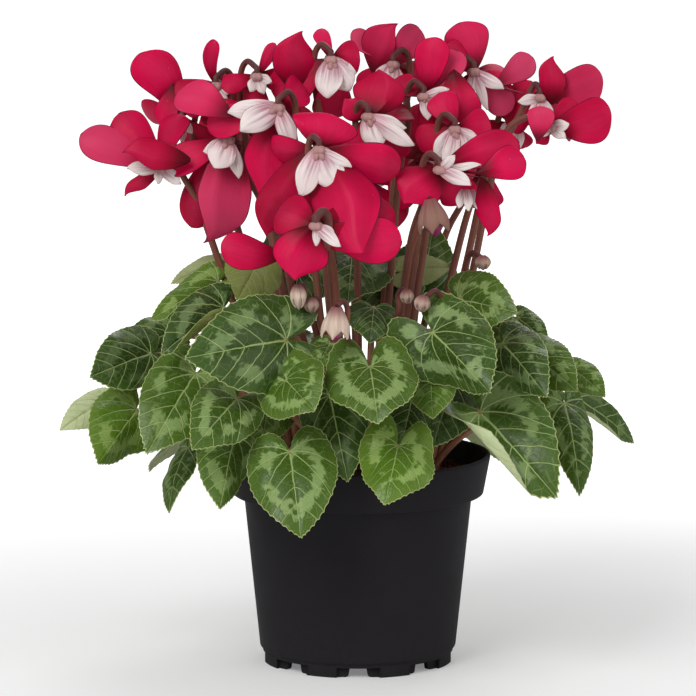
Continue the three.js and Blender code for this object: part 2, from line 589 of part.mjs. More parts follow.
function bloomSolids(bloom, shift, clearance) {
  const hub = place(...bloom.hub, bloom.depth + shift);
  const grown = ([across, down, back, width, roll = 0], fullness) => ({
    tip: place(across, down, bloom.depth + shift + back),
    width: width * pixel * fullness + 2 * clearance,
    roll });
  const behind = bloom.depth > 50 ? -1 : 1;
  const core = hub.clone().add(new THREE.Vector3(0, behind * (coreRadius + cupRadius + gap + 0.1), -0.5));
  const petals = bloom.petals.map((petal) => grown(petal, petalFullness));
  const corolla = starSolid(core, petals, { rows: petalRows, claw: petalClaw, swell: coreRadius + clearance,
    bladeSwell: petalThickness / 2 + clearance });
  const lobes = bloom.lobes.map((lobe) => grown(lobe, 1));
  const calyx = starSolid(hub, lobes, { rows: lobeRows, claw: lobeClaw, swell: cupRadius + clearance,
    bladeSwell: lobeThickness / 2 + clearance });
  return { hub, corolla, calyx };
}

// A bloom that would cross an earlier one slides along the line of sight until it is clear.
const slides = [0, 4, -4, 8, -8, 12, -12, 16, -16, 20, -20, 24, -24, 28, -28];
function placeBlooms() {
  const placed = [];
  let taken = null;
  for (const bloom of blooms) {
    const shift = slides.find((step) => {
      const { corolla, calyx } = bloomSolids(bloom, step, 0);
      return !taken || !crosses(corolla.add(calyx), taken);
    });
    const fat = bloomSolids(bloom, shift, gap);
    placed.push({ bloom, ...bloomSolids(bloom, shift, 0), fatCalyx: fat.calyx });
    taken = taken ? taken.add(fat.corolla).add(fat.calyx) : fat.corolla.add(fat.calyx);
  }
  return { placed, taken };
}

// A closed bud, pointed at both ends, as [girth, length] shares of its profile.
const spindleProfile = [[0, 0], [0.8, 0.22], [1, 0.5], [0.55, 0.8], [0, 1]];
function spindle(bud, clearance) {
  const top = place(...bud.top, bud.depth);
  const foot = place(...bud.foot, bud.depth);
  const length = top.distanceTo(foot);
  const girth = bud.girth * pixel / 2 + clearance;
  const body = new THREE.LatheGeometry(
    spindleProfile.map(([r, z]) => new THREE.Vector2(r * girth, z * length)), 6);
  body.rotateX(Math.PI / 2);
  const turn = new THREE.Quaternion().setFromUnitVectors(new THREE.Vector3(0, 0, 1),
    foot.clone().sub(top).normalize());
  body.applyQuaternion(turn).translate(top.x, top.y, top.z);
  return { top, solid: solidOf(body) };
}

const { placed: placedBlooms, taken: blossoms } = placeBlooms();

// Crown: the tuber with every flower stalk and the small closed buds, one grown piece.
const stalkTops = placedBlooms.map(({ hub, bloom }) => ({
  points: stalkPoints(hub.clone().add(new THREE.Vector3(0, 0, cupRadius + 0.3 + gap)), bloom.side, 1) }));
const halfOpen = buds.map((bud) => ({ bud, ...spindle(bud, 0) }));
halfOpen.forEach(({ bud, top }) => stalkTops.push({
  points: stalkPoints(top.clone().add(new THREE.Vector3(0, 0, gap + 0.1)), bud.side, 0.85) }));
const closed = smallBuds.map((bud) => ({ bud, ...spindle(bud, 0) }));
closed.forEach(({ bud, top }) => stalkTops.push({
  points: stalkPoints(top.clone().add(new THREE.Vector3(0, 0, -1.5)), bud.side, 0.75) }));
const crownSolid = (clearance) => joined([tuberSolid(clearance),
  ...stalkTops.map(({ points }) => stalkSolid(points, clearance)),
  ...closed.map(({ bud }) => spindle(bud, clearance).solid)]);
const crown = crownSolid(0);
const crownClear = crownSolid(gap);

// Leaves: their world base and tip, the way they face, and the node of the sector that they grow in.
function allLeaves() {
  const list = leaves.map(({ base, tip, width, roll, back = heartBack, sides = [1, 1] }) => ({
    from: place(...base), to: place(...tip), width: width * pixel, roll, facing: toViewer, back, sides }));
  for (const ring of backRings) {
    ring.bearings.forEach((degrees, i) => {
      const bearing = THREE.MathUtils.degToRad(degrees);
      const sway = i % 2 ? 3 : -3;
      const from = place3(bearing, ring.base[0] + sway, ring.base[1] + sway);
      const to = place3(bearing, ring.tip[0] + sway, ring.tip[1] - sway);
      const facing = place3(bearing, 0.7, 0.8).normalize();
      list.push({ from, to, width: ring.width, roll: 0, facing, back: heartBack, sides: [1, 1] });
    });
  }
  list.forEach((leaf) => {
    const turn = (Math.atan2(leaf.from.y, leaf.from.x) / (2 * Math.PI) + 1) % 1;
    leaf.node = Math.floor(turn * leafNodeCount);
  });
  return list;
}

const rimClearance = 7;
const neckBack = 2;
const neckDrop = 4;

// A petiole bends down behind its blade, arches over the rim where its leaf hangs outside, and ends upright
// in its stub.
function petiolePoints(leaf, along, normal) {
  const foot = stubFoot(leaf.node, soilTop + 1);
  const crest = Math.max(leaf.from.z + 1, potHeight + rimClearance);
  const rise = foot.clone().lerp(leaf.from, 0.25);
  const arch = foot.clone().lerp(leaf.from, 0.68);
  rise.z = foot.z + (crest - foot.z) * 0.55;
  arch.z = foot.z + (crest - foot.z) * 0.94;
  const neck = leaf.from.clone().addScaledVector(along, -neckBack).addScaledVector(normal, -neckDrop);
  return [neck, arch, rise, foot];
}

const stubSolid = (index, clearance) => {
  const stub = new THREE.CylinderGeometry(stubRadius + clearance, stubRadius + clearance, stubLength, 6);
  stub.rotateX(Math.PI / 2);
  const foot = stubFoot(index, soilTop + stubAbove - stubLength / 2);
  return solidOf(stub.translate(foot.x, foot.y, foot.z));
};

// Every leaf node is cleared of what isn't a leaf, and then of the nodes before it.
function placeLeaves(others) {
  const list = allLeaves();
  const nodes = [...Array(leafNodeCount).keys()].map((index) => ({ index,
    leaves: list.filter((leaf) => leaf.node === index) }));
  let taken = others;
  nodes.forEach((node) => {
    const grow = (clearance) => joined([stubSolid(node.index, clearance),
      ...node.leaves.map((leaf) => leafSolid(leaf, clearance))]);
    node.solid = grow(0).subtract(taken);
    taken = taken.add(grow(gap)).add(node.solid);
  });
  return nodes;
}

addNode("pot", buildPot(), colours.pot, 0.45);
addNode("soil", buildSoil(), colours.soil, 0.95);
addNode("crown", crown, colours.crown, 0.6);

const twoDigits = (i) => String(i).padStart(2, "0");
placedBlooms.forEach(({ corolla, calyx, fatCalyx }, i) => {
  const petals = corolla.subtract(crownClear).subtract(fatCalyx);
  addNode(`bloom_${twoDigits(i + 1)}_petals`, petals, colours.petals, 0.5);
  addNode(`bloom_${twoDigits(i + 1)}_calyx`, calyx.subtract(crownClear), colours.calyx, 0.6);
});
halfOpen.forEach(({ bud, solid }) => {
  addNode(bud.name, solid.subtract(crownClear).subtract(blossoms), colours[bud.name], 0.6);
});

// What the leaves keep clear of besides the crown and the blooms: the half-open buds and the pot's rim.
const budsClear = joined(buds.map((bud) => spindle(bud, gap).solid));
const rimInside = rimRadius - 8;
const potClear = latheSolid([[rimInside, shoulder], [bodyTopRadius + 1, 0], [rimRadius + gap, 0],
  [rimRadius + gap, potHeight + gap], [rimRadius - wall - gap, potHeight + gap], [rimInside, shoulder]], 40);
placeLeaves(crownClear.add(blossoms).add(budsClear).add(potClear)).forEach((node) => {
  addNode(`leaves_${twoDigits(node.index + 1)}`, node.solid, colours.leaf, 0.6);
});

export default group;
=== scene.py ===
import math
import random

import bpy
import numpy as np
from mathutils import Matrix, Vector


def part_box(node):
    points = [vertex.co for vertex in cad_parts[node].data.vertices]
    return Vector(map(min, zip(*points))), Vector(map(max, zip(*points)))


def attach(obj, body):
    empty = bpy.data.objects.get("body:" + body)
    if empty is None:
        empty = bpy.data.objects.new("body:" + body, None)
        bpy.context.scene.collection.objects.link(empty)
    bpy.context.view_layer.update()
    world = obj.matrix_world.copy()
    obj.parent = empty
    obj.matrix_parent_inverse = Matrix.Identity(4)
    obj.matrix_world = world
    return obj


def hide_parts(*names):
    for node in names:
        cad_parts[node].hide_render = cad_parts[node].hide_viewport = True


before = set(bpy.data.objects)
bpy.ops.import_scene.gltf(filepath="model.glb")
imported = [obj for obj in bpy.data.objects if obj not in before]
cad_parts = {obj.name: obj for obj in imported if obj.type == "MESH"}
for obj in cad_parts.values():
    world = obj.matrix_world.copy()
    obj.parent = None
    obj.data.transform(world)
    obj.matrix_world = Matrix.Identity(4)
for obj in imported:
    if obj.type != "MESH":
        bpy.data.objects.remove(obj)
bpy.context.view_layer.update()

print("frame loaded,", len(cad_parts), "nodes")
mm = 0.001

# Where a thing stands in the picture: across and down are pixels of its 696 by 696 frame, and depth is
# millimetres behind the pot's axis. The same reading places the solids.
view = {
    "frameMiddle": 348, "pixel": 0.451, "distance": 1800, "tilt": 8, "lookAt": (-4.5, 0, 142.6),
    "sensor": 36, "clip": (0.05, 40),
}
tilt = math.radians(view["tilt"])
forward = np.array([0, math.cos(tilt), -math.sin(tilt)])
upward = np.array([0, math.sin(tilt), math.cos(tilt)])
toViewer = -forward
eye = np.array(view["lookAt"]) - view["distance"] * forward


def place(across, down, depth):
    step = view["pixel"] / view["distance"]
    ray = forward + upward * (view["frameMiddle"] - down) * step
    ray[0] += (across - view["frameMiddle"]) * step
    return eye + ray * (depth - eye[1]) / ray[1]


# Sizes in millimetres that the solids are built to.
body = {
    "potHeight": 95, "rimRadius": 60, "rimDepth": 18, "rimTaper": 3.2, "bodyTop": 51.6, "bodyFoot": 44.5,
    "foot": 43.2, "footHeight": 7, "footStep": 1.5, "footRing": 5, "wall": 2, "floor": 6.8, "soilTop": 86,
    "tuber": 24, "stubRing": 34, "leafNodes": 11, "coreRadius": 3.4, "cupRadius": 3.4, "gap": 0.3,
}


# Small vector tools

def unit(vector):
    return vector / np.linalg.norm(vector)


def turned(vector, axis, angle):
    cosine, sine = math.cos(angle), math.sin(angle)
    return vector * cosine + np.cross(axis, vector) * sine + axis * np.dot(axis, vector) * (1 - cosine)


def bladeFrame(base, tip, facing, roll):
    along = unit(tip - base)
    normal = unit(facing - along * np.dot(facing, along))
    normal = turned(normal, along, math.radians(roll))
    return along, normal, np.cross(along, normal)


def catmull(points, steps, clamped=False):
    points = [np.array(p, float) for p in points]
    first = points[0] if clamped else 2 * points[0] - points[1]
    last = points[-1] if clamped else 2 * points[-1] - points[-2]
    held = [first, *points, last]
    curve = []
    for t in np.linspace(0, len(points) - 1, steps):
        i = min(int(t), len(points) - 2)
        w = t - i
        a, b, c, d = held[i:i + 4]
        curve.append(0.5 * (2 * b + (c - a) * w + (2 * a - 5 * b + 4 * c - d) * w * w
                            + (3 * b - a - 3 * c + d) * w ** 3))
    return np.array(curve)


# Mesh building: parts are gathered in a batch and become one piece

valueNames = ("along", "across", "tone", "under", "rim")


def newBatch():
    return {"points": [], "faces": [], "count": 0, **{name: [] for name in valueNames}}


def addPart(batch, points, faces, **values):
    points = np.asarray(points, float).reshape(-1, 3)
    start = batch["count"]
    batch["points"].append(points)
    batch["faces"].extend([[start + corner for corner in face] for face in faces])
    batch["count"] += len(points)
    for name in valueNames:
        given = np.asarray(values.get(name, 0.0), float)
        batch[name].append(np.broadcast_to(given.reshape(-1) if given.ndim else given, (len(points),)))


def makePiece(name, batch, material, nodes, sharpAngle=55):
    mesh = bpy.data.meshes.new(name)
    mesh.from_pydata((np.concatenate(batch["points"]) * mm).tolist(), [], batch["faces"])
    for valueName in valueNames:
        attribute = mesh.attributes.new(valueName, "FLOAT", "POINT")
        attribute.data.foreach_set("value", np.concatenate(batch[valueName]).astype(np.float32))
    mesh.polygons.foreach_set("use_smooth", [True] * len(mesh.polygons))
    mesh.update()
    mesh.set_sharp_from_angle(angle=math.radians(sharpAngle))
    mesh.materials.append(material)
    piece = bpy.data.objects.new(name, mesh)
    bpy.context.scene.collection.objects.link(piece)
    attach(piece, "root")
    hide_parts(*nodes)
    return piece


def gridFaces(rows, columns, wrap=False):
    faces = []
    for i in range(rows - 1):
        for j in range(columns if wrap else columns - 1):
            k = (j + 1) % columns
            faces.append((i * columns + j, i * columns + k, (i + 1) * columns + k, (i + 1) * columns + j))
    return faces


sheetFaceLists = {}


def sheetFaces(rows, columns):
    # a closed sheet: the upper grid, the lower grid turned over, and the rim between them
    if (rows, columns) in sheetFaceLists:
        return sheetFaceLists[rows, columns]
    lower = rows * columns
    faces = gridFaces(rows, columns)
    faces += [tuple(lower + corner for corner in reversed(face)) for face in faces]
    border = [i * columns for i in range(rows)]
    border += [(rows - 1) * columns + j for j in range(1, columns)]
    border += [i * columns + columns - 1 for i in range(rows - 2, -1, -1)]
    border += list(range(columns - 2, 0, -1))
    for a, b in zip(border, border[1:] + border[:1]):
        faces.append((a, b, lower + b, lower + a))
    sheetFaceLists[rows, columns] = faces
    return faces


def surfaceNormals(grid, facing):
    normals = np.cross(np.gradient(grid, axis=0), np.gradient(grid, axis=1))
    length = np.linalg.norm(normals, axis=2, keepdims=True)
    normals = normals / np.maximum(length, 1e-9)
    if (normals.reshape(-1, 3) @ facing).mean() < 0:
        normals = -normals
    return normals


def addSheet(batch, grid, facing, half, under=0.0, **values):
    rows, columns = grid.shape[:2]
    normals = surfaceNormals(grid, facing)
    swell = normals * np.broadcast_to(half, (rows, columns))[..., None]
    points = np.concatenate([(grid + swell).reshape(-1, 3), (grid - swell).reshape(-1, 3)])
    doubled = {name: np.tile(np.broadcast_to(value, (rows, columns)).reshape(-1), 2)
               for name, value in values.items()}
    side = np.repeat([under, 1.0 - under], rows * columns)
    addPart(batch, points, sheetFaces(rows, columns), under=side, **doubled)


def addTube(batch, path, radii, sides, **values):
    count = len(path)
    tangents = np.gradient(path, axis=0)
    right = unit(np.cross(tangents[0], [0.3, 1, 0.2]))
    turns = np.arange(sides) * 2 * math.pi / sides
    rings = []
    for i in range(count):
        heading = unit(tangents[i])
        right = unit(right - heading * np.dot(right, heading))
        up = np.cross(heading, right)
        rings.append(path[i] + radii[i] * (np.cos(turns)[:, None] * right + np.sin(turns)[:, None] * up))
    faces = gridFaces(count, sides, wrap=True)
    faces.append(tuple(reversed(range(sides))))
    faces.append(tuple((count - 1) * sides + j for j in range(sides)))
    along = np.repeat(np.linspace(0, 1, count), sides)
    across = np.tile(np.cos(turns), count)
    addPart(batch, np.concatenate(rings), faces, **{"along": along, "across": across, **values})


def addLathe(batch, profile, segments, centre=(0, 0, 0), bump=None, axis=(0, 0, 1), **values):
    # profile runs from one end of the axis to the other, as (radius, height), its first and last on the axis
    axis = unit(np.array(axis, float))
    side = unit(np.cross(axis, [0.31, 0.95, 0.11]))
    front = np.cross(axis, side)
    turns = np.arange(segments) * 2 * math.pi / segments
    rings = []
    for radius, height in profile[1:-1]:
        swell = np.ones(segments) if bump is None else bump(turns, height)
        spoke = np.cos(turns)[:, None] * side + np.sin(turns)[:, None] * front
        rings.append(np.array(centre) + axis * height + spoke * (radius * swell)[:, None])
    ends = [np.array(centre) + axis * profile[0][1], np.array(centre) + axis * profile[-1][1]]
    rows = len(rings)
    faces = gridFaces(rows, segments, wrap=True)
    low, high = rows * segments, rows * segments + 1
    for j in range(segments):
        k = (j + 1) % segments
        faces.append((low, k, j))
        faces.append((high, (rows - 1) * segments + j, (rows - 1) * segments + k))
    points = np.concatenate([*rings, np.array(ends)])
    along = np.concatenate([np.repeat(np.linspace(0, 1, rows), segments), [0, 1]])
    across = np.concatenate([np.tile(np.cos(5 * turns), rows), [0, 0]])
    addPart(batch, points, faces, **{"along": along, "across": across, **values})


# Shader tools

def socketOf(tree, socket, value):
    if isinstance(value, bpy.types.NodeSocket):
        tree.links.new(value, socket)
    else:
        socket.default_value = value


def calc(tree, operation, *terms, clamp=False):
    node = tree.nodes.new("ShaderNodeMath")
    node.operation = operation
    node.use_clamp = clamp
    for socket, term in zip(node.inputs, terms):
        socketOf(tree, socket, term)
    return node.outputs[0]


def times(tree, first, second):
    return calc(tree, "MULTIPLY", first, second)


def plus(tree, first, second):
    return calc(tree, "ADD", first, second)


def minus(tree, first, second):
    return calc(tree, "SUBTRACT", first, second)


def ranged(tree, value, low, high, toLow=0.0, toHigh=1.0):
    node = tree.nodes.new("ShaderNodeMapRange")
    node.interpolation_type = "SMOOTHSTEP"
    for socket, given in zip(node.inputs, (value, low, high, toLow, toHigh)):
        socketOf(tree, socket, given)
    return node.outputs[0]


def blended(tree, factor, first, second, mode="MIX"):
    node = tree.nodes.new("ShaderNodeMix")
    node.data_type = "RGBA"
    node.blend_type = mode
    socketOf(tree, node.inputs[0], factor)
    for socket, given in ((node.inputs[6], first), (node.inputs[7], second)):
        socketOf(tree, socket, (*given, 1) if isinstance(given, tuple) and len(given) == 3 else given)
    return node.outputs[2]


def valueOf(tree, name):
    node = tree.nodes.new("ShaderNodeAttribute")
    node.attribute_name = name
    return node.outputs["Fac"]


def noiseOf(tree, vector, scale, detail=3.0, roughness=0.55):
    node = tree.nodes.new("ShaderNodeTexNoise")
    socketOf(tree, node.inputs["Vector"], vector)
    socketOf(tree, node.inputs["Scale"], scale)
    node.inputs["Detail"].default_value = detail
    node.inputs["Roughness"].default_value = roughness
    return node.outputs["Fac"]


def vectorOf(tree, x=0.0, y=0.0, z=0.0):
    node = tree.nodes.new("ShaderNodeCombineXYZ")
    for socket, given in zip(node.inputs, (x, y, z)):
        socketOf(tree, socket, given)
    return node.outputs[0]


def objectPlace(tree):
    return tree.nodes.new("ShaderNodeTexCoord").outputs["Object"]


def colour(hexText):
    # a screen colour such as b3002d as the linear colour the shader takes
    parts = [int(hexText[i:i + 2], 16) / 255 for i in (0, 2, 4)]
    return tuple(c / 12.92 if c <= 0.04045 else ((c + 0.055) / 1.055) ** 2.4 for c in parts)


def linear(look):
    # the values of a look, its colours as linear ones
    return {name: colour(value) if isinstance(value, str) else value for name, value in look.items()}


def newGroup(name, inputs, outputs):
    group = bpy.data.node_groups.new(name, "ShaderNodeTree")
    for socketName, default in inputs.items():
        kind = "NodeSocketVector" if socketName == "Place" else "NodeSocketFloat"
        socket = group.interface.new_socket(socketName, in_out="INPUT", socket_type=kind)
        if default is not None:
            socket.default_value = default
    for socketName in outputs:
        group.interface.new_socket(socketName, in_out="OUTPUT", socket_type="NodeSocketFloat")
    return group, group.nodes.new("NodeGroupInput").outputs, group.nodes.new("NodeGroupOutput").inputs


def useGroup(tree, group, **values):
    node = tree.nodes.new("ShaderNodeGroup")
    node.node_tree = group
    for name, value in values.items():
        socketOf(tree, node.inputs[name], value)
    return node.outputs


def makeMottleGroup():
    # soft patches of two sizes over a surface
    group, given, made = newGroup("tissueMottle", {"Place": None, "Scale": 60.0, "Contrast": 2.0}, ["Mask"])
    wide = noiseOf(group, given["Place"], given["Scale"], 2.0)
    fine = noiseOf(group, given["Place"], times(group, given["Scale"], 4.3), 4.0)
    both = plus(group, times(group, wide, 0.7), times(group, fine, 0.3))
    lifted = minus(group, both, 0.5)
    spread = calc(group, "MULTIPLY_ADD", lifted, given["Contrast"], 0.5, clamp=True)
    group.links.new(spread, made["Mask"])
    return group


def makeStreakGroup():
    # fine lines that run the length of a petal, a lobe or a stalk and fade in and out
    inputs = {"Along": 0.0, "Across": 0.0, "Seed": 0.0, "Count": 9.0, "Stretch": 1.2}
    group, given, made = newGroup("lengthStreaks", inputs, ["Mask"])
    x = times(group, given["Across"], given["Count"])
    y = times(group, given["Along"], given["Stretch"])
    spot = vectorOf(group, x, y, times(group, given["Seed"], 37.0))
    lines = noiseOf(group, spot, 1.0, 5.0, 0.62)
    group.links.new(ranged(group, lines, 0.38, 0.66), made["Mask"])
    return group


def makeReliefGroup():
    # the small unevenness of a skin, as a height
    group, given, made = newGroup("skinRelief", {"Place": None, "Scale": 900.0, "Depth": 0.5}, ["Height"])
    cells = group.nodes.new("ShaderNodeTexVoronoi")
    socketOf(group, cells.inputs["Vector"], given["Place"])
    socketOf(group, cells.inputs["Scale"], given["Scale"])
    grain = noiseOf(group, given["Place"], times(group, given["Scale"], 0.35), 4.0)
    height = plus(group, times(group, cells.outputs["Distance"], 0.6), grain)
    group.links.new(times(group, height, given["Depth"]), made["Height"])
    return group


# The veins of a heart-shaped leaf: where they leave the notch, as turns from the midrib in radians, how much
# they sweep towards the tip, and their half width as a share of the leaf's length. Branches leave the midrib
# at shares of the length, lean and bend towards the tip. Everything wanders a little.
veins = {
    "turns": (0.0, 0.78, 1.45, 2.2), "sweep": 0.4, "half": 0.0115, "taper": 0.62, "midrib": 0.62,
    "branches": (0.24, 0.44, 0.64), "lean": 0.85, "bend": 0.9, "branchHalf": 0.008, "branchShare": 0.8,
    "wander": 0.07, "wanderScale": 7.0, "netScale": 11.0, "netShare": 0.6,
}


def nearestOf(tree, distances):
    nearest = distances[0]
    for distance in distances[1:]:
        nearest = calc(tree, "MINIMUM", nearest, distance)
    return nearest


def makeVeinGroup():
    group, given, made = newGroup("leafVeins", {"Along": 0.0, "Across": 0.0, "Seed": 0.0}, ["Main", "Minor"])
    u = given["Along"]
    spot = vectorOf(group, u, given["Across"], given["Seed"])
    wander = noiseOf(group, spot, veins["wanderScale"], 2.0)
    shift = times(group, minus(group, wander, 0.5), veins["wander"])
    side = calc(group, "ABSOLUTE", plus(group, given["Across"], times(group, shift, 0.35)))
    reach = calc(group, "SQRT", plus(group, times(group, u, u), times(group, side, side)))
    turn = calc(group, "ARCTAN2", side, u)
    swept = calc(group, "DIVIDE", turn, minus(group, 1.0, times(group, reach, veins["sweep"])))
    wavy = plus(group, swept, shift)
    half = times(group, veins["half"], minus(group, 1.0, times(group, reach, veins["taper"])))
    distances = []
    for at in veins["turns"]:
        away = calc(group, "ABSOLUTE", minus(group, wavy if at else swept, at))
        distances.append(times(group, times(group, away, reach), 1.0 if at else veins["midrib"]))
    main = ranged(group, nearestOf(group, distances), half, times(group, half, 0.25))
    # side branches leave the midrib forwards, and a net of small veins fills what is left
    bent = times(group, times(group, side, side), veins["bend"])
    ahead = plus(group, u, times(group, shift, 0.5))
    lean = minus(group, ahead, plus(group, times(group, side, veins["lean"]), bent))
    offsets = [calc(group, "ABSOLUTE", minus(group, lean, at)) for at in veins["branches"]]
    drawn = ranged(group, nearestOf(group, offsets), veins["branchHalf"] * 1.5, veins["branchHalf"] * 0.4)
    branches = times(group, drawn, ranged(group, swept, 0.8, 0.55))
    wholeMain = calc(group, "MAXIMUM", main, times(group, branches, veins["branchShare"]))
    group.links.new(wholeMain, made["Main"])
    cells = group.nodes.new("ShaderNodeTexVoronoi")
    cells.feature = "DISTANCE_TO_EDGE"
    socketOf(group, cells.inputs["Vector"], spot)
    cells.inputs["Scale"].default_value = veins["netScale"]
    net = ranged(group, cells.outputs["Distance"], 0.05, 0.01, 0.0, veins["netShare"])
    group.links.new(net, made["Minor"])
    return group


mottleGroup = makeMottleGroup()
streakGroup = makeStreakGroup()
reliefGroup = makeReliefGroup()
veinGroup = makeVeinGroup()


def mottleOf(tree, spot, scale, contrast):
    return useGroup(tree, mottleGroup, Place=spot, Scale=scale, Contrast=contrast)["Mask"]


def streaksOf(tree, along, across, seed, count, stretch):
    found = useGroup(tree, streakGroup, Along=along, Across=across, Seed=seed, Count=count, Stretch=stretch)
    return found["Mask"]


def reliefOf(tree, spot, scale, depth):
    return useGroup(tree, reliefGroup, Place=spot, Scale=scale, Depth=depth)["Height"]


def newMaterial(name, look):
    material = bpy.data.materials.new(name)
    material.use_nodes = True
    tree = material.node_tree
    shader = tree.nodes["Principled BSDF"]
    shader.inputs["Roughness"].default_value = look["roughness"]
    shader.inputs["Specular IOR Level"].default_value = look["specular"]
    shader.inputs["Sheen Weight"].default_value = look.get("sheen", 0.0)
    if "scatter" in look:
        weight, radius, scale = look["scatter"]
        shader.inputs["Subsurface Weight"].default_value = weight
        shader.inputs["Subsurface Radius"].default_value = radius
        shader.inputs["Subsurface Scale"].default_value = scale
    return material, tree, shader


def addBump(tree, shader, height, distance, strength):
    node = tree.nodes.new("ShaderNodeBump")
    node.inputs["Strength"].default_value = strength
    node.inputs["Distance"].default_value = distance
    tree.links.new(height, node.inputs["Height"])
    tree.links.new(node.outputs["Normal"], shader.inputs["Normal"])


# A look holds screen colours, the roughness, specular and sheen of a skin, scatter as (weight, radius,
# scale) of the light below it, mottle as (scale, contrast), streaks as (count, stretch), relief as (scale,
# depth), bump as (distance, strength), shares that say how strongly a colour shows, and the ranges over
# which a colour comes in, some with the two strengths that they run between.

# Petals: crimson, darker in the throat and towards the base (partly their own colour, partly painted shade),
# with patches of painted shadow, a painted highlight down the middle and a dark rim of painted shade;
# brighter and a little coral towards the rim, duller underneath.
petalLook = {
    "throat": "520010", "deep": "80001e", "main": "b20032", "bright": "e2004e", "coral": "d4466e",
    "edge": "5c0a2e", "below": "a82444", "speck": "f0b8c0",
    "roughness": 0.46, "specular": 0.14, "scatter": (0.05, (0.004, 0.001, 0.001), 0.6),
    "mottle": (70.0, 1.6), "streaks": (11.0, 1.5), "relief": (1500.0, 0.35), "bump": (0.0002, 0.4),
    "shadowScale": 34.0, "shadowShare": 0.35, "streaked": 0.16, "highlighted": 0.25, "rimmed": 0.92,
    "speckScale": 1100.0, "specked": 0.45, "dulled": 0.5,
    "throatEnds": (0.02, 0.34), "shadowEdge": (0.48, 0.66), "baseEnds": (0.12, 0.55),
    "highlightAcross": (0.85, 0.1), "highlightAlong": (0.3, 0.62), "coralTone": (0.74, 0.98),
    "coralAlong": (0.15, 0.6, 0.2, 0.8), "rimEdge": (0.5, 0.75), "speckEdge": (0.8, 0.83),
}


def makePetalMaterial():
    look = linear(petalLook)
    material, tree, shader = newMaterial("petalCrimson", look)
    along, across, tone = valueOf(tree, "along"), valueOf(tree, "across"), valueOf(tree, "tone")
    spot = objectPlace(tree)
    mottle = mottleOf(tree, spot, *look["mottle"])
    streaks = streaksOf(tree, along, across, tone, *look["streaks"])
    # darker in the throat and towards the base: partly the petal's own deeper base, partly painted shade
    # where the petals meet
    base = blended(tree, ranged(tree, along, *look["throatEnds"]), look["throat"], look["deep"])
    lit = calc(tree, "MULTIPLY_ADD", tone, 1.2, times(tree, mottle, 0.3), clamp=True)
    face = blended(tree, lit, look["main"], look["bright"])
    # painted shadow: soft noise patches darken the petal towards deep crimson
    shadowPatches = ranged(tree, noiseOf(tree, spot, look["shadowScale"], 1.0), *look["shadowEdge"])
    shaded = blended(tree, times(tree, shadowPatches, look["shadowShare"]), face, look["deep"])
    skin = blended(tree, ranged(tree, along, *look["baseEnds"]), base, shaded)
    veined = blended(tree, times(tree, streaks, look["streaked"]), skin, look["deep"])
    # painted highlight: a soft coral sheen down the middle of the blade, broken by the mottle
    middle = ranged(tree, calc(tree, "ABSOLUTE", across), *look["highlightAcross"])
    highlight = times(tree, times(tree, middle, ranged(tree, along, *look["highlightAlong"])), mottle)
    highlighted = blended(tree, times(tree, highlight, look["highlighted"]), veined, look["coral"])
    tinge = times(tree, ranged(tree, tone, *look["coralTone"]), ranged(tree, along, *look["coralAlong"]))
    tinged = blended(tree, tinge, highlighted, look["coral"])
    # painted shade: a thin dark outline along the rim, the shade where one petal lies over another
    rim = ranged(tree, valueOf(tree, "rim"), *look["rimEdge"])
    rimmed = blended(tree, times(tree, rim, look["rimmed"]), tinged, look["edge"])
    specks = ranged(tree, noiseOf(tree, spot, look["speckScale"], 1.0), *look["speckEdge"])
    dotted = blended(tree, times(tree, specks, look["specked"]), rimmed, look["speck"])
    under = times(tree, valueOf(tree, "under"), look["dulled"])
    tree.links.new(blended(tree, under, dotted, look["below"]), shader.inputs["Base Color"])
    relief = reliefOf(tree, spot, *look["relief"])
    addBump(tree, shader, plus(tree, relief, times(tree, streaks, 0.3)), *look["bump"])
    rough = calc(tree, "MULTIPLY_ADD", mottle, 0.16, look["roughness"] - 0.08)
    tree.links.new(rough, shader.inputs["Roughness"])
    return material


# Calyx lobes: white with a pink cast, magenta streaks from the cup, which is brownish pink.
sepalLook = {
    "white": "fbf0ec", "pink": "e8b8c0", "streak": "94506c", "cup": "b88c88", "knob": "8a5c5a",
    "roughness": 0.55, "specular": 0.2, "sheen": 0.03, "scatter": (0.12, (0.004, 0.003, 0.003), 0.6),
    "mottle": (150.0, 1.8), "streaks": (4.5, 0.8), "bump": (0.0003, 0.5), "mottled": 0.3, "streaked": 0.75,
    "flushAlong": (0.55, 0.12), "streakAlong": (0.85, 0.18), "foldAcross": (0.16, 0.02),
    "foldAlong": (0.95, 0.3, 0.0, 0.6), "cupAlong": (0.2, 0.02), "knobEdge": (0.4, 1.0),
}


def makeSepalMaterial():
    look = linear(sepalLook)
    material, tree, shader = newMaterial("calyxWhite", look)
    along, across, tone = valueOf(tree, "along"), valueOf(tree, "across"), valueOf(tree, "tone")
    mottle = mottleOf(tree, objectPlace(tree), *look["mottle"])
    streaks = streaksOf(tree, along, across, tone, *look["streaks"])
    pale = blended(tree, times(tree, mottle, look["mottled"]), look["white"], look["pink"])
    flush = blended(tree, ranged(tree, along, *look["flushAlong"]), pale, look["pink"])
    drawn = times(tree, streaks, ranged(tree, along, *look["streakAlong"]))
    fold = ranged(tree, calc(tree, "ABSOLUTE", across), *look["foldAcross"])
    creased = calc(tree, "MAXIMUM", times(tree, drawn, look["streaked"]),
                   times(tree, fold, ranged(tree, along, *look["foldAlong"])))
    lined = blended(tree, creased, flush, look["streak"])
    based = blended(tree, ranged(tree, along, *look["cupAlong"]), lined, look["cup"])
    browned = blended(tree, ranged(tree, valueOf(tree, "rim"), *look["knobEdge"]), based, look["knob"])
    tree.links.new(browned, shader.inputs["Base Color"])
    addBump(tree, shader, streaks, *look["bump"])
    return material


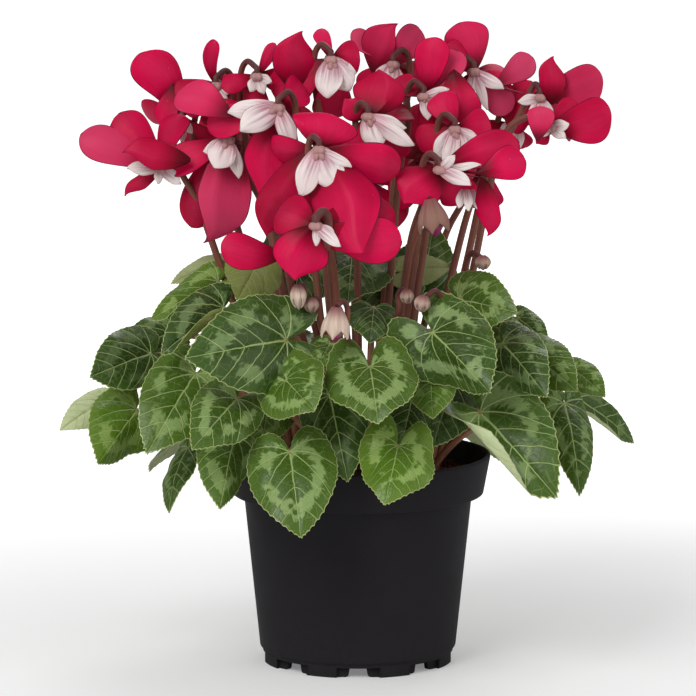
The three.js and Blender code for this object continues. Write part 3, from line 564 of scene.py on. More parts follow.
# Stalks: brown-red, browner low down, with fine lengthwise lines and a bloom of tiny glands.
stalkLook = {
    "top": "582830", "middle": "84483c", "foot": "92604a", "dark": "462026",
    "roughness": 0.5, "specular": 0.3, "sheen": 0.06, "scatter": (0.05, (0.003, 0.001, 0.001), 0.5),
    "mottle": (120.0, 2.2), "streaks": (3.0, 6.0), "relief": (1800.0, 0.6), "bump": (0.0002, 0.6),
    "streaked": 0.5, "mottled": 0.3,
    "footEnds": (0.0, 0.45), "topStarts": (0.6, 0.92),
}


def makeStalkMaterial():
    look = linear(stalkLook)
    material, tree, shader = newMaterial("stalkSkin", look)
    along, across, tone = valueOf(tree, "along"), valueOf(tree, "across"), valueOf(tree, "tone")
    spot = objectPlace(tree)
    streaks = streaksOf(tree, along, across, tone, *look["streaks"])
    low = blended(tree, ranged(tree, along, *look["footEnds"]), look["foot"], look["middle"])
    skin = blended(tree, ranged(tree, along, *look["topStarts"]), low, look["top"])
    lined = blended(tree, times(tree, streaks, look["streaked"]), skin, look["dark"])
    patches = times(tree, mottleOf(tree, spot, *look["mottle"]), look["mottled"])
    tree.links.new(blended(tree, patches, lined, look["foot"]), shader.inputs["Base Color"])
    addBump(tree, shader, reliefOf(tree, spot, *look["relief"]), *look["bump"])
    return material


# Leaves: a dark heart, a marbled silver band with a ragged edge, a green border with a pale toothed rim, and
# pale veins from the notch. Underneath they are pale and dull. Their greens run from dark to a yellowish
# green by their lit tone, which is partly their own tone and partly painted light and shade.
leafLook = {
    "dark": "1d3212", "litTone": "527614", "border": "334e1e", "borderLitTone": "668624", "silver": "90aa72",
    "silverLitTone": "9cb85e", "vein": "b0c47c", "rim": "bcc880", "under": "ccd8a6", "underDark": "7d8844",
    "roughness": 0.38, "specular": 0.34, "mottle": (110.0, 1.8), "relief": (700.0, 0.25),
    "bump": (0.0006, 0.6), "minorVeins": 0.22, "mainVeins": 0.8, "rimmed": 0.85, "veinsBelow": 0.5,
    "mainSunk": 1.2, "minorSunk": 0.7,
    "bandInner": (0.42, 0.5), "bandOuter": (0.78, 0.72), "patchEdge": (0.42, 0.5),
    "borderStarts": (0.55, 0.95), "faintness": (0.0, 0.15, 1.0, 0.2), "rimEdge": (0.978, 0.995),
    "underStarts": (0.2, 0.4), "underPale": (0.5, 1.0, 0.1, 1.1),
}


def makeLeafMaterial():
    look = linear(leafLook)
    material, tree, shader = newMaterial("leafMarbled", look)
    along, across = valueOf(tree, "along"), valueOf(tree, "across")
    tone, under, rim = valueOf(tree, "tone"), valueOf(tree, "under"), valueOf(tree, "rim")
    # tone holds the leaf's number in its whole part and its lit tone, partly painted light and shade, in the
    # rest
    seed = calc(tree, "FLOOR", tone)
    litTone = calc(tree, "FRACT", tone)
    found = useGroup(tree, veinGroup, Along=along, Across=across, Seed=seed)
    patches = noiseOf(tree, vectorOf(tree, along, across, seed), 4.4, 2.0)
    turn = calc(tree, "ARCTAN2", across, minus(tree, along, 0.12))
    spokeSpot = vectorOf(tree, times(tree, turn, 7.0), times(tree, rim, 3.0), seed)
    spokes = noiseOf(tree, spokeSpot, 1.6, 4.0, 0.7)
    reach = plus(tree, rim, times(tree, minus(tree, spokes, 0.5), 0.55))
    inside = ranged(tree, reach, *look["bandInner"])
    outside = ranged(tree, reach, *look["bandOuter"])
    thick = ranged(tree, patches, *look["patchEdge"])
    band = times(tree, times(tree, inside, outside), thick)
    mottle = mottleOf(tree, objectPlace(tree), *look["mottle"])
    # painted light and shade: the heart, border and silver run from their dark to their yellowish lit greens
    # by the leaf's lit tone
    lit = calc(tree, "MULTIPLY_ADD", mottle, 0.2, litTone, clamp=True)
    heart = blended(tree, lit, look["dark"], look["litTone"])
    border = blended(tree, litTone, look["border"], look["borderLitTone"])
    green = blended(tree, ranged(tree, rim, *look["borderStarts"]), heart, border)
    flecked = times(tree, band, calc(tree, "MULTIPLY_ADD", spokes, 0.5, 0.5))
    # under is 0 to 0.15 on the upper face, whose band is fainter the higher it is, and 0.5 to 1 on the lower
    # face, which is paler the higher it is
    shown = times(tree, flecked, ranged(tree, under, *look["faintness"]))
    silver = blended(tree, litTone, look["silver"], look["silverLitTone"])
    silvered = blended(tree, shown, green, silver)
    netted = blended(tree, times(tree, found["Minor"], look["minorVeins"]), silvered, look["vein"])
    veined = blended(tree, times(tree, found["Main"], look["mainVeins"]), netted, look["vein"])
    edge = ranged(tree, rim, *look["rimEdge"])
    rimmed = blended(tree, times(tree, edge, look["rimmed"]), veined, look["rim"])
    isUnder = ranged(tree, under, *look["underStarts"])
    paleness = calc(tree, "MULTIPLY_ADD", mottle, -0.25, ranged(tree, under, *look["underPale"]), clamp=True)
    below = blended(tree, paleness, look["underDark"], look["under"])
    belowVeined = blended(tree, times(tree, found["Main"], look["veinsBelow"]), below, look["rim"])
    tree.links.new(blended(tree, isUnder, rimmed, belowVeined), shader.inputs["Base Color"])
    grain = reliefOf(tree, objectPlace(tree), *look["relief"])
    sunk = minus(tree, grain, times(tree, found["Main"], look["mainSunk"]))
    quilted = minus(tree, sunk, times(tree, found["Minor"], look["minorSunk"]))
    addBump(tree, shader, quilted, *look["bump"])
    rough = calc(tree, "MULTIPLY_ADD", band, 0.14, look["roughness"] - 0.05)
    tree.links.new(calc(tree, "MULTIPLY_ADD", isUnder, 0.2, rough), shader.inputs["Roughness"])
    return material


# Petioles: green at the blade, brown-red at the foot.
petioleLook = {
    "top": "8d9a55", "foot": "8a5744", "streak": "b98c6c", "roughness": 0.5, "specular": 0.3, "sheen": 0.05,
    "streaks": (2.5, 9.0), "relief": (1500.0, 0.5), "bump": (0.0002, 0.6), "streaked": 0.6,
    "topEnds": (0.0, 0.6),
}


def makePetioleMaterial():
    look = linear(petioleLook)
    material, tree, shader = newMaterial("petioleSkin", look)
    along, across, tone = valueOf(tree, "along"), valueOf(tree, "across"), valueOf(tree, "tone")
    streaks = times(tree, streaksOf(tree, along, across, tone, *look["streaks"]), look["streaked"])
    skin = blended(tree, ranged(tree, along, *look["topEnds"]), look["top"], look["foot"])
    tree.links.new(blended(tree, streaks, skin, look["streak"]), shader.inputs["Base Color"])
    addBump(tree, shader, reliefOf(tree, objectPlace(tree), *look["relief"]), *look["bump"])
    return material


# Buds: cream to brown by their tone, flushed where they meet the stalk, magenta at the tip.
budLook = {
    "cream": "f0dcc6", "brown": "94705e", "flush": "8a5450", "streak": "b07080", "tip": "9c2868",
    "roughness": 0.55, "specular": 0.25, "sheen": 0.04, "scatter": (0.08, (0.003, 0.002, 0.002), 0.5),
    "streaks": (5.0, 1.2), "bump": (0.0003, 0.5), "streaked": 0.3,
    "flushAlong": (0.5, 0.0),
}


def makeBudMaterial():
    look = linear(budLook)
    material, tree, shader = newMaterial("budSkin", look)
    along, across, tone = valueOf(tree, "along"), valueOf(tree, "across"), valueOf(tree, "tone")
    streaks = streaksOf(tree, along, across, tone, *look["streaks"])
    skin = blended(tree, tone, look["cream"], look["brown"])
    flushed = blended(tree, ranged(tree, along, *look["flushAlong"]), skin, look["flush"])
    lined = blended(tree, times(tree, streaks, look["streaked"]), flushed, look["streak"])
    tree.links.new(blended(tree, valueOf(tree, "rim"), lined, look["tip"]), shader.inputs["Base Color"])
    addBump(tree, shader, streaks, *look["bump"])
    return material


tuberLook = {
    "dark": "2e1a12", "light": "5d3d2a", "roughness": 0.85, "specular": 0.3, "mottle": (160.0, 2.6),
    "relief": (400.0, 1.0), "bump": (0.001, 0.8),
}


def makeTuberMaterial():
    look = linear(tuberLook)
    material, tree, shader = newMaterial("tuberCork", look)
    spot = objectPlace(tree)
    mottle = mottleOf(tree, spot, *look["mottle"])
    tree.links.new(blended(tree, mottle, look["dark"], look["light"]), shader.inputs["Base Color"])
    addBump(tree, shader, reliefOf(tree, spot, *look["relief"]), *look["bump"])
    return material


soilLook = {
    "dark": "241009", "red": "6a2e20", "bit": "8c5236", "roughness": 0.9, "specular": 0.25,
    "mottle": (240.0, 2.8), "relief": (520.0, 1.0), "bump": (0.0014, 0.9), "bitScale": 900.0, "bits": 0.7,
    "bitEdge": (0.68, 0.74),
}


def makeSoilMaterial():
    look = linear(soilLook)
    material, tree, shader = newMaterial("pottingSoil", look)
    spot = objectPlace(tree)
    crumb = blended(tree, mottleOf(tree, spot, *look["mottle"]), look["dark"], look["red"])
    bits = ranged(tree, noiseOf(tree, spot, look["bitScale"], 2.0), *look["bitEdge"])
    strewn = blended(tree, times(tree, bits, look["bits"]), crumb, look["bit"])
    tree.links.new(strewn, shader.inputs["Base Color"])
    addBump(tree, shader, reliefOf(tree, spot, *look["relief"]), *look["bump"])
    return material


# Pot plastic: nearly black, satin, with a fine moulded grain, faint dust low down and soft scuffs.
potLook = {
    "black": "252326", "dust": "343130", "scuff": "2c2a2e", "roughness": 0.6, "specular": 0.07,
    "mottle": (26.0, 2.4), "fine": (300.0, 3.0), "relief": (2200.0, 0.5), "bump": (0.00012, 0.5),
    "scuffed": 0.5, "dusted": 0.35, "dustHeight": 0.03,
}


def makePotMaterial():
    look = linear(potLook)
    material, tree, shader = newMaterial("potPlastic", look)
    spot = objectPlace(tree)
    mottle = mottleOf(tree, spot, *look["mottle"])
    fine = mottleOf(tree, spot, *look["fine"])
    scuffed = blended(tree, times(tree, mottle, look["scuffed"]), look["black"], look["scuff"])
    height = tree.nodes.new("ShaderNodeSeparateXYZ")
    tree.links.new(spot, height.inputs[0])
    low = ranged(tree, height.outputs["Z"], look["dustHeight"], 0.0)
    dusty = times(tree, times(tree, low, fine), look["dusted"])
    tree.links.new(blended(tree, dusty, scuffed, look["dust"]), shader.inputs["Base Color"])
    rough = calc(tree, "MULTIPLY_ADD", mottle, 0.18, look["roughness"] - 0.09)
    tree.links.new(rough, shader.inputs["Roughness"])
    addBump(tree, shader, reliefOf(tree, spot, *look["relief"]), *look["bump"])
    return material


petalCrimson = makePetalMaterial()
calyxWhite = makeSepalMaterial()
stalkSkin = makeStalkMaterial()
leafMarbled = makeLeafMaterial()
petioleSkin = makePetioleMaterial()
budSkin = makeBudMaterial()
tuberCork = makeTuberMaterial()
pottingSoil = makeSoilMaterial()
potPlastic = makePotMaterial()
print("materials made")


# Pot

potShape = {
    "segments": 144, "edge": 0.5, "notches": 8, "pocketWidth": 19, "pocketHeight": 4.5, "pocketDepth": 3,
    "drainTop": 7.2, "drainFoot": 11.5, "toeRadius": 1.6,
}


def roundedProfile(corners, radius, steps=3):
    # each inner corner of an open profile becomes a small arc
    path = [np.array(corners[0], float)]
    for before, corner, after in zip(corners, corners[1:], corners[2:]):
        corner = np.array(corner, float)
        back, ahead = np.array(before) - corner, np.array(after) - corner
        reach = min(radius, np.linalg.norm(back) * 0.45, np.linalg.norm(ahead) * 0.45)
        start, end = corner + unit(back) * reach, corner + unit(ahead) * reach
        for t in np.linspace(0, 1, steps + 1):
            path.append((1 - t) ** 2 * start + 2 * t * (1 - t) * corner + t * t * end)
    path.append(np.array(corners[-1], float))
    return path


def notchCutter(name, outline, inner, outer, turn):
    # a prism through the foot ring: its outline stands across the ring, as (sideways, height)
    count = len(outline)
    points = [(reach, x, z) for reach in (inner, outer) for x, z in outline]
    faces = [tuple(reversed(range(count))), tuple(range(count, 2 * count))]
    faces += [(i, (i + 1) % count, count + (i + 1) % count, count + i) for i in range(count)]
    cosine, sine = math.cos(turn), math.sin(turn)
    placed = [((r * cosine - x * sine) * mm, (r * sine + x * cosine) * mm, z * mm) for r, x, z in points]
    mesh = bpy.data.meshes.new(name)
    mesh.from_pydata(placed, [], faces)
    cutter = bpy.data.objects.new(name, mesh)
    bpy.context.scene.collection.objects.link(cutter)
    return cutter


def drainOutline():
    # narrow at the top, wider at the foot, where the plastic ends in a rounded toe on each side
    top, foot, high, toe = (potShape[key] for key in ("drainTop", "drainFoot", "pocketHeight", "toeRadius"))
    side = [(top / 2, high)]
    for t in np.linspace(0, math.pi / 2, 5):
        side.append((foot / 2 - toe * math.cos(t), toe - toe * math.sin(t)))
    side.append((foot / 2, -1))
    return [(-x, z) for x, z in side] + [(x, z) for x, z in reversed(side)]


def buildPot():
    size = body
    shoulder = size["potHeight"] - size["rimDepth"]
    wall, foot, ring = size["wall"], size["foot"], size["foot"] - size["footRing"]
    corners = [
        (0, size["floor"] - wall), (ring, size["floor"] - wall), (ring, 0), (foot, 0),
        (foot, size["footHeight"] - size["footStep"]), (size["bodyFoot"], size["footHeight"]),
        (size["bodyTop"], shoulder - 1), (size["rimRadius"] - size["rimTaper"], shoulder),
        (size["rimRadius"], size["potHeight"] - 1), (size["rimRadius"] - 0.5, size["potHeight"]),
        (size["rimRadius"] - wall, size["potHeight"]),
        (size["rimRadius"] - size["rimTaper"] - wall, shoulder + 3), (size["bodyTop"] - wall, shoulder + 1),
        (size["bodyFoot"] - wall - 1, size["floor"]), (0, size["floor"]),
    ]
    batch = newBatch()
    addLathe(batch, roundedProfile(corners, potShape["edge"]), potShape["segments"])
    pot = makePiece("grower_pot", batch, potPlastic, ["pot"], sharpAngle=40)
    half, high = potShape["pocketWidth"] / 2, potShape["pocketHeight"]
    pocket = [(-half, -1), (half, -1), (half, high), (-half, high)]
    cutters = []
    for i in range(potShape["notches"]):
        turn = 2 * math.pi * i / potShape["notches"] - math.pi / 2
        cutters.append(notchCutter("pocket", pocket, foot - potShape["pocketDepth"], foot + 2, turn))
        cutters.append(notchCutter("drain", drainOutline(), ring - 3, foot + 3, turn))
    for cutter in cutters:
        notch = pot.modifiers.new("notch", "BOOLEAN")
        notch.operation = "DIFFERENCE"
        notch.solver = "EXACT"
        notch.object = cutter
    bpy.context.view_layer.update()
    graph = bpy.context.evaluated_depsgraph_get()
    cut = bpy.data.meshes.new_from_object(pot.evaluated_get(graph))
    pot.modifiers.clear()
    pot.data = cut
    for cutter in cutters:
        bpy.data.objects.remove(cutter)


buildPot()
print("pot made")


# Soil

soilShape = {
    "rings": 60, "segments": 140, "lump": 0.9, "sunk": 0.3, "clear": 0.45, "base": 7.2, "crumbs": 620,
    "crumbSize": (0.5, 1.7), "crumbSides": 7, "seed": 11,
    "octaves": 5, "waves": 3, "wave": 0.09, "finer": 1.9, "fainter": 1.5,
}


def smoothNoise(x, y, seed):
    # a few sums of sines stand in for noise that is the same on every run
    source = random.Random(seed)
    total = 0
    for octave in range(soilShape["octaves"]):
        wave = soilShape["wave"] * soilShape["finer"] ** octave
        for _ in range(soilShape["waves"]):
            turn, phase = source.uniform(0, math.pi * 2), source.uniform(0, math.pi * 2)
            heights = np.sin((x * math.cos(turn) + y * math.sin(turn)) * wave + phase)
            total = total + heights / soilShape["fainter"] ** octave
    return total / soilShape["octaves"]


def addCrumb(batch, source, reach):
    r, turn = reach * math.sqrt(source.random()) * 0.985, source.uniform(0, 2 * math.pi)
    radius = source.uniform(*soilShape["crumbSize"])
    height = body["soilTop"] + source.uniform(-0.3, 0.6)
    wobble = np.array([source.uniform(0.6, 1.25) for _ in range(soilShape["crumbSides"])])
    profile = [(0, -radius * 0.7), (radius * 0.8, -radius * 0.4), (radius, 0.1 * radius),
               (radius * 0.6, radius * 0.55), (0, radius * 0.75)]
    r = min(r, reach - radius - 0.3)
    lean = (source.uniform(-0.6, 0.6), source.uniform(-0.6, 0.6), 1)
    addLathe(batch, profile, soilShape["crumbSides"], (r * math.cos(turn), r * math.sin(turn), height),
             bump=lambda turns, level: wobble, axis=lean)


def buildSoil():
    size = body
    shoulder = size["potHeight"] - size["rimDepth"]
    reach = size["rimRadius"] - size["wall"] - size["rimTaper"]
    clear, segments = soilShape["clear"], soilShape["segments"]
    turns = np.arange(segments) * 2 * math.pi / segments
    rings = []
    for r in np.linspace(0, reach, soilShape["rings"])[1:]:
        x, y = r * np.cos(turns), r * np.sin(turns)
        z = size["soilTop"] - soilShape["sunk"] + soilShape["lump"] * smoothNoise(x, y, soilShape["seed"])
        rings.append(np.stack([x, y, z], axis=1))
    lower = [(reach - clear, shoulder + 3.5), (size["bodyTop"] - size["wall"] - clear, shoulder + 1.5),
             (size["bodyFoot"] - size["wall"] - 1.5, soilShape["base"])]
    for r, z in lower:
        rings.append(np.stack([r * np.cos(turns), r * np.sin(turns), np.full(segments, z)], axis=1))
    points = np.concatenate([*rings, [[0, 0, size["soilTop"]], [0, 0, soilShape["base"]]]])
    faces = [tuple(reversed(face)) for face in gridFaces(len(rings), segments, wrap=True)]
    top, base, last = len(rings) * segments, len(rings) * segments + 1, (len(rings) - 1) * segments
    for j in range(segments):
        k = (j + 1) % segments
        faces.append((top, j, k))
        faces.append((base, last + k, last + j))
    batch = newBatch()
    addPart(batch, points, faces)
    source = random.Random(soilShape["seed"])
    for _ in range(soilShape["crumbs"]):
        addCrumb(batch, source, reach)
    makePiece("soil_surface", batch, pottingSoil, ["soil"], sharpAngle=80)


buildSoil()
print("soil made")


def petalOf(kind):
    def row(across, down, back, width, roll, tone=None, bow=0.0, start=None):
        return {"tip": (across, down, back), "width": width, "roll": roll, "kind": kind, "tone": tone,
                "bow": bow, "start": start}
    return row


spoon, drop, fold = petalOf("spoon"), petalOf("drop"), petalOf("fold")

# Blooms. hub is the cup, depth its place behind the pot's axis and side where the stalk arches in from. A
# petal is the (across, down, back) of its tip, with back in millimetres behind the hub, its width in pixels
# and its roll in degrees from facing the viewer. tone runs from crimson at 0 to coral at 1 and is drawn by
# chance if it isn't given, bow bends the petal sideways by that share of its length, and start is where the
# blade begins, at the end of a narrow claw. A lobe is (across, down, back, width) of its tip, and may end
# with the place where it starts.
blooms = [
    {"hub": (319, 150), "depth": -58, "side": -1,
     "petals": [spoon(328, 113, 12, 62, 12, tone=0.6), spoon(401, 170, 6, 38, 8, tone=0.4),
                fold(363, 252, -25, 62, 0, tone=0.5), drop(266, 238, 10, 54, 10, tone=0.15),
                spoon(270, 150, 32, 30, -42)],
     "lobes": [(300, 197, -4, 22), (336, 191, -4, 28), (352, 167, -1, 10)]},
    {"hub": (316, 226), "depth": -74, "side": 1,
     "petals": [drop(295, 281, 2, 50, 0, tone=0.7, bow=0.06),
                spoon(403, 240, 14, 42, 8, tone=0.65, bow=0.09),
                spoon(221, 245, 16, 33, 8, tone=0.4, bow=-0.08, start=(286, 255, 22)),
                spoon(277, 210, 16, 42, 20, tone=0.2), spoon(395, 207, 26, 46, -20, tone=0.15)],
     "lobes": [(335, 234, 1, 8), (341, 246, -6, 11), (316, 246, -1, 7)]},
    {"hub": (278, 108), "depth": -40, "side": 1,
     "petals": [drop(258, 206, 3, 50, 0, tone=0.5, bow=-0.06), spoon(207, 129, 8, 30, 10, tone=0.5),
                spoon(176, 94, 6, 38, 10, tone=0.86, bow=0.08, start=(232, 117, 3)),
                spoon(305, 85, 23, 32, 30), spoon(325, 125, 28, 30, -42)],
     "lobes": [(227, 112, 1, 19), (240, 131, -7, 24), (294, 151, -4, 17)]},
    {"hub": (228, 140), "depth": -32, "side": 1,
     "petals": [drop(204, 244, 2, 50, 0, tone=0.92, bow=-0.08),
                spoon(192, 229, 12, 36, 10, tone=0.1, bow=0.06), spoon(167, 170, 4, 32, 12, tone=0.6),
                spoon(222, 98, 23, 30, 30), spoon(262, 150, 32, 28, -42)],
     "lobes": [(214, 168, -8, 26), (239, 179, -1, 13), (203, 152, 0, 12)]},
    {"hub": (440, 170), "depth": -50, "side": -1,
     "petals": [spoon(520, 143, 8, 34, 5, tone=0.45, bow=-0.05),
                spoon(526, 160, 0, 32, 0, tone=0.75, start=(478, 173, -2)),
                drop(404, 204, 2, 44, 8, tone=0.55),
                drop(487, 237, 6, 24, 20, tone=0.45, bow=-0.08, start=(482, 178, 4)),
                spoon(466, 204, 16, 36, 0, tone=0.7)],
     "lobes": [(471, 185, -6, 13), (482, 165, 0, 7), (455, 155, -4, 9), (458, 208, 4, 8, (463, 190, 8)),
               (469, 211, 2, 8, (467, 190, 6)), (478, 210, 6, 7, (472, 190, 9))]},
    {"hub": (331, 60), "depth": -18, "side": -1,
     "petals": [drop(303, 31, 4, 42, 5, tone=0.3, bow=-0.1, start=(300, 94, 8)),
                spoon(360, 58, 6, 32, 10, tone=0.2, bow=-0.12), spoon(319, 28, 18, 16, 25, tone=0.8),
                spoon(274, 98, 12, 42, 20, tone=0.35), spoon(334, 120, 20, 38, -20, tone=0.8)],
     "lobes": [(327, 98, -8, 25), (350, 91, -2, 25), (357, 73, 1, 9)]},
    {"hub": (368, 117), "depth": -26, "side": -1,
     "petals": [fold(379, 69, 10, 48, 5, tone=0.2, bow=0.14), drop(345, 98, 8, 30, 25),
                spoon(352, 165, 8, 34, 15), spoon(402, 160, 13, 36, 25, tone=0.3),
                spoon(412, 112, 28, 28, -37)],
     "lobes": [(378, 149, -5, 23), (415, 145, -6, 16), (407, 128, 1, 12)]},
    {"hub": (424, 97), "depth": -6, "side": -1,
     "petals": [spoon(436, 37, 6, 32, 5, tone=0.55),
                spoon(464, 122, 0, 42, 0, tone=0.4, start=(453, 70, 6)),
                drop(424, 150, 8, 28, 10, tone=0.35, bow=-0.14), spoon(392, 80, 17, 28, 30),
                spoon(458, 50, 14, 36, -10, tone=0.9)],
     "lobes": [(449, 89, -4, 10), (447, 112, -4, 15), (428, 120, -4, 11)]},
    {"hub": (455, 130), "depth": -26, "side": -1,
     "petals": [spoon(491, 124, 10, 30, 12, tone=0.35), spoon(440, 92, 14, 30, 15),
                spoon(415, 140, 14, 28, 20), spoon(490, 165, 19, 30, 30), spoon(462, 190, 28, 30, -37)],
     "lobes": [(434, 158, -1, 16), (462, 163, -4, 22), (480, 142, 0, 11), (447, 170, -8, 15)]},
    {"hub": (160, 168), "depth": -12, "side": 1,
     "petals": [spoon(80, 134, 8, 36, 5, tone=0.9), spoon(118, 113, 14, 38, 10, tone=0.45),
                drop(122, 152, -9, 28, 0, tone=0.12, start=(190, 160, -6)),
                drop(124, 196, 9, 16, 30, tone=0.3), spoon(178, 112, 30, 30, -32)],
     "lobes": [(127, 168, -1, 13), (181, 184, -3, 12), (158, 184, -1, 8)]},
    {"hub": (178, 116), "depth": 12, "side": 1,
     "petals": [spoon(140, 53, 4, 44, 5, tone=0.6, bow=0.1),
                spoon(164, 127, -2, 24, 12, tone=0.65, start=(173, 84, 0)), spoon(215, 84, 8, 24, 15),
                spoon(205, 148, 17, 34, 25), spoon(142, 112, 26, 28, -32)],
     "lobes": [(166, 138, -1, 13), (182, 142, -6, 11), (192, 134, 0, 9)]},
    {"hub": (216, 86), "depth": 16, "side": 1,
     "petals": [spoon(214, 39, 8, 16, 10, tone=0.7, bow=-0.12), spoon(176, 99, 2, 40, 10, tone=0.25),
                spoon(232, 78, 16, 26, 20), spoon(250, 110, 19, 34, 25), spoon(214, 128, 10, 30, -27)],
     "lobes": [(205, 104, -3, 11), (226, 108, -3, 11), (234, 92, -2, 10)]},
    {"hub": (257, 77), "depth": 2, "side": -1,
     "petals": [spoon(221, 86, 4, 22, 15, tone=0.3), spoon(275, 43, 8, 13, 10, tone=0.8),
                spoon(252, 118, 8, 32, 15), spoon(296, 78, 17, 32, 25), spoon(244, 98, 24, 24, -37)],
     "lobes": [(250, 92, -3, 10), (264, 94, -3, 10), (272, 82, -2, 9)]},
    {"hub": (393, 65), "depth": 22, "side": 1,
     "petals": [drop(399, 24, 4, 33, 5, tone=0.84, bow=-0.12, start=(374, 74, 6)),
                spoon(352, 31, 8, 20, 15, tone=0.9), spoon(420, 28, 10, 34, 15, tone=0.95),
                spoon(360, 95, 15, 32, 25), spoon(428, 85, 24, 30, -32)],
     "lobes": [(385, 90, -7, 18), (400, 96, -1, 14), (374, 78, 1, 10)]},
    {"hub": (474, 72), "depth": 14, "side": -1,
     "petals": [spoon(462, 22, 4, 44, 5, tone=0.82, bow=0.06), spoon(446, 45, -2, 26, 12),
                spoon(511, 112, 4, 28, 15, tone=0.95), spoon(455, 112, 15, 30, 25),
                spoon(512, 74, 22, 22, -32, tone=0.7)],
     "lobes": [(504, 89, -3, 12), (488, 110, -4, 9), (470, 98, -3, 10)]},
    {"hub": (540, 98), "depth": 10, "side": -1,
     "petals": [spoon(532, 56, 8, 26, 10, tone=0.98, start=(496, 86, 6)),
                drop(554, 56, 0, 26, 0, tone=0.4, start=(552, 104, 0)),
                spoon(603, 78, 4, 40, 5, tone=0.85), spoon(508, 128, 15, 28, 25),
                spoon(560, 116, 22, 26, -32)],
     "lobes": [(518, 102, -3, 10), (530, 122, -3, 10), (552, 120, -3, 10)]},
    {"hub": (550, 128), "depth": -14, "side": -1,
     "petals": [spoon(611, 112, 2, 42, 5, tone=0.3, bow=0.05), spoon(577, 102, 8, 25, 15, tone=0.2),
                spoon(540, 106, -4, 26, 0, tone=0.86, start=(538, 141, -6)), drop(536, 144, 11, 18, 30),
                spoon(572, 132, 22, 24, -32)],
     "lobes": [(569, 124, -3, 11), (566, 138, -3, 9), (538, 136, -3, 9)]},
    {"hub": (515, 125), "depth": 26, "side": -1,
     "petals": [spoon(492, 82, 8, 30, 10), spoon(530, 80, 12, 28, 15), spoon(480, 140, 8, 30, 15),
                spoon(526, 148, 13, 20, 25), spoon(548, 112, 24, 26, -32)],
     "lobes": [(508, 144, -3, 13), (520, 148, -3, 12), (500, 130, -2, 10)]},
    {"hub": (244, 140), "depth": 62, "side": 1,
     "petals": [spoon(202, 112, 4, 38, 0), spoon(236, 86, 2, 34, 10), spoon(292, 112, 2, 36, 5),
                spoon(218, 188, -4, 36, 25), spoon(274, 190, -16, 36, -30)],
     "lobes": [(234, 166, 9, 18), (256, 166, 9, 18), (268, 142, 8, 14)]},
    {"hub": (366, 178), "depth": 66, "side": -1,
     "petals": [spoon(328, 142, 4, 38, 0), spoon(376, 126, 2, 36, 10), spoon(418, 162, 2, 36, 5),
                spoon(340, 230, -4, 38, 25, tone=0.2), spoon(396, 228, -16, 40, -30, tone=0.15)],
     "lobes": [(356, 206, 9, 18), (378, 206, 9, 18), (390, 182, 8, 14)]},
    {"hub": (420, 156), "depth": 64, "side": 1,
     "petals": [spoon(378, 124, 4, 38, 0), spoon(422, 102, 2, 36, 10), spoon(470, 132, 2, 38, 5),
                spoon(394, 206, -4, 38, 25), spoon(444, 198, -16, 38, -30)],
     "lobes": [(410, 184, 9, 18), (432, 184, 9, 18), (444, 160, 8, 14)]},
    {"hub": (480, 170), "depth": 56, "side": -1,
     "petals": [spoon(442, 146, 4, 36, 0), spoon(484, 122, 2, 34, 10), spoon(520, 156, 2, 34, 5),
                spoon(460, 204, -4, 34, 25), spoon(496, 206, -16, 32, -30)],
     "lobes": [(470, 196, 9, 16), (492, 196, 9, 16), (502, 172, 8, 13)]},
]

# Each kind of petal: how its width grows and closes (rise, close, sharp), how it arches, the range that its
# cup is drawn from, how it folds beside a ridge, how its tip hooks sideways and how its rim waves.
petalKinds = {
    "spoon": {"rise": 0.8, "close": 4.6, "sharp": 0.6, "arch": 0.1, "cup": (-0.14, 0.2), "fold": 0.05,
              "hook": 0.0, "wave": 0.035},
    "drop": {"rise": 0.66, "close": 3.0, "sharp": 1.25, "arch": 0.12, "cup": (-0.06, 0.2), "fold": 0.2,
             "hook": 0.16, "wave": 0.03},
    "fold": {"rise": 0.66, "close": 2.8, "sharp": 1.0, "arch": 0.1, "cup": (-0.02, 0.12), "fold": 0.5,
             "hook": 0.1, "wave": 0.02},
}
petalShape = {
    "rows": 30, "columns": 19, "thickness": 0.7, "rimThickness": 0.24, "fullness": 1.08, "skew": 0.16,
    "twist": 24, "crease": 0.05, "seed": 3, "tones": (0.1, 0.6), "bulb": 3.2, "stem": 0.02,
}
lobeKind = {
    "rise": 0.5, "close": 3.0, "sharp": 0.95, "arch": 0.12, "cup": (0.05, 0.2), "fold": 0.12, "hook": 0.05,
    "wave": 0.05,
}
lobeShape = {
    "rows": 20, "columns": 13, "thickness": 0.7, "rimThickness": 0.24, "fullness": 1.12, "skew": 0.12,
    "twist": 12, "crease": -0.06, "stem": 0.12,
}
clawShape = {"rows": 4, "half": 0.6, "share": 0.02}
# How every blade is laid out: how its rows and columns gather, its least width, the width of its crease, the
# waves of its rim, where its tip starts to droop and by how much, and where its rim and its tip's rim begin.
bladeShape = {
    "gatherRows": 1.5, "gatherColumns": 1.6, "least": 0.015, "creaseWidth": 0.14, "ridge": 0.3, "waves": 8,
    "droopFrom": 0.72, "droop": 0.48, "rimFrom": 0.9, "tipFrom": 0.985,
}


def thicknessOf(shape, edge):
    return shape["rimThickness"] + (shape["thickness"] - shape["rimThickness"]) * (1 - edge)


def widthProfile(u, kind, stem):
    raised = (u + stem) ** kind["rise"] * np.maximum(0, 1 - u ** kind["close"]) ** kind["sharp"]
    return raised / raised.max()


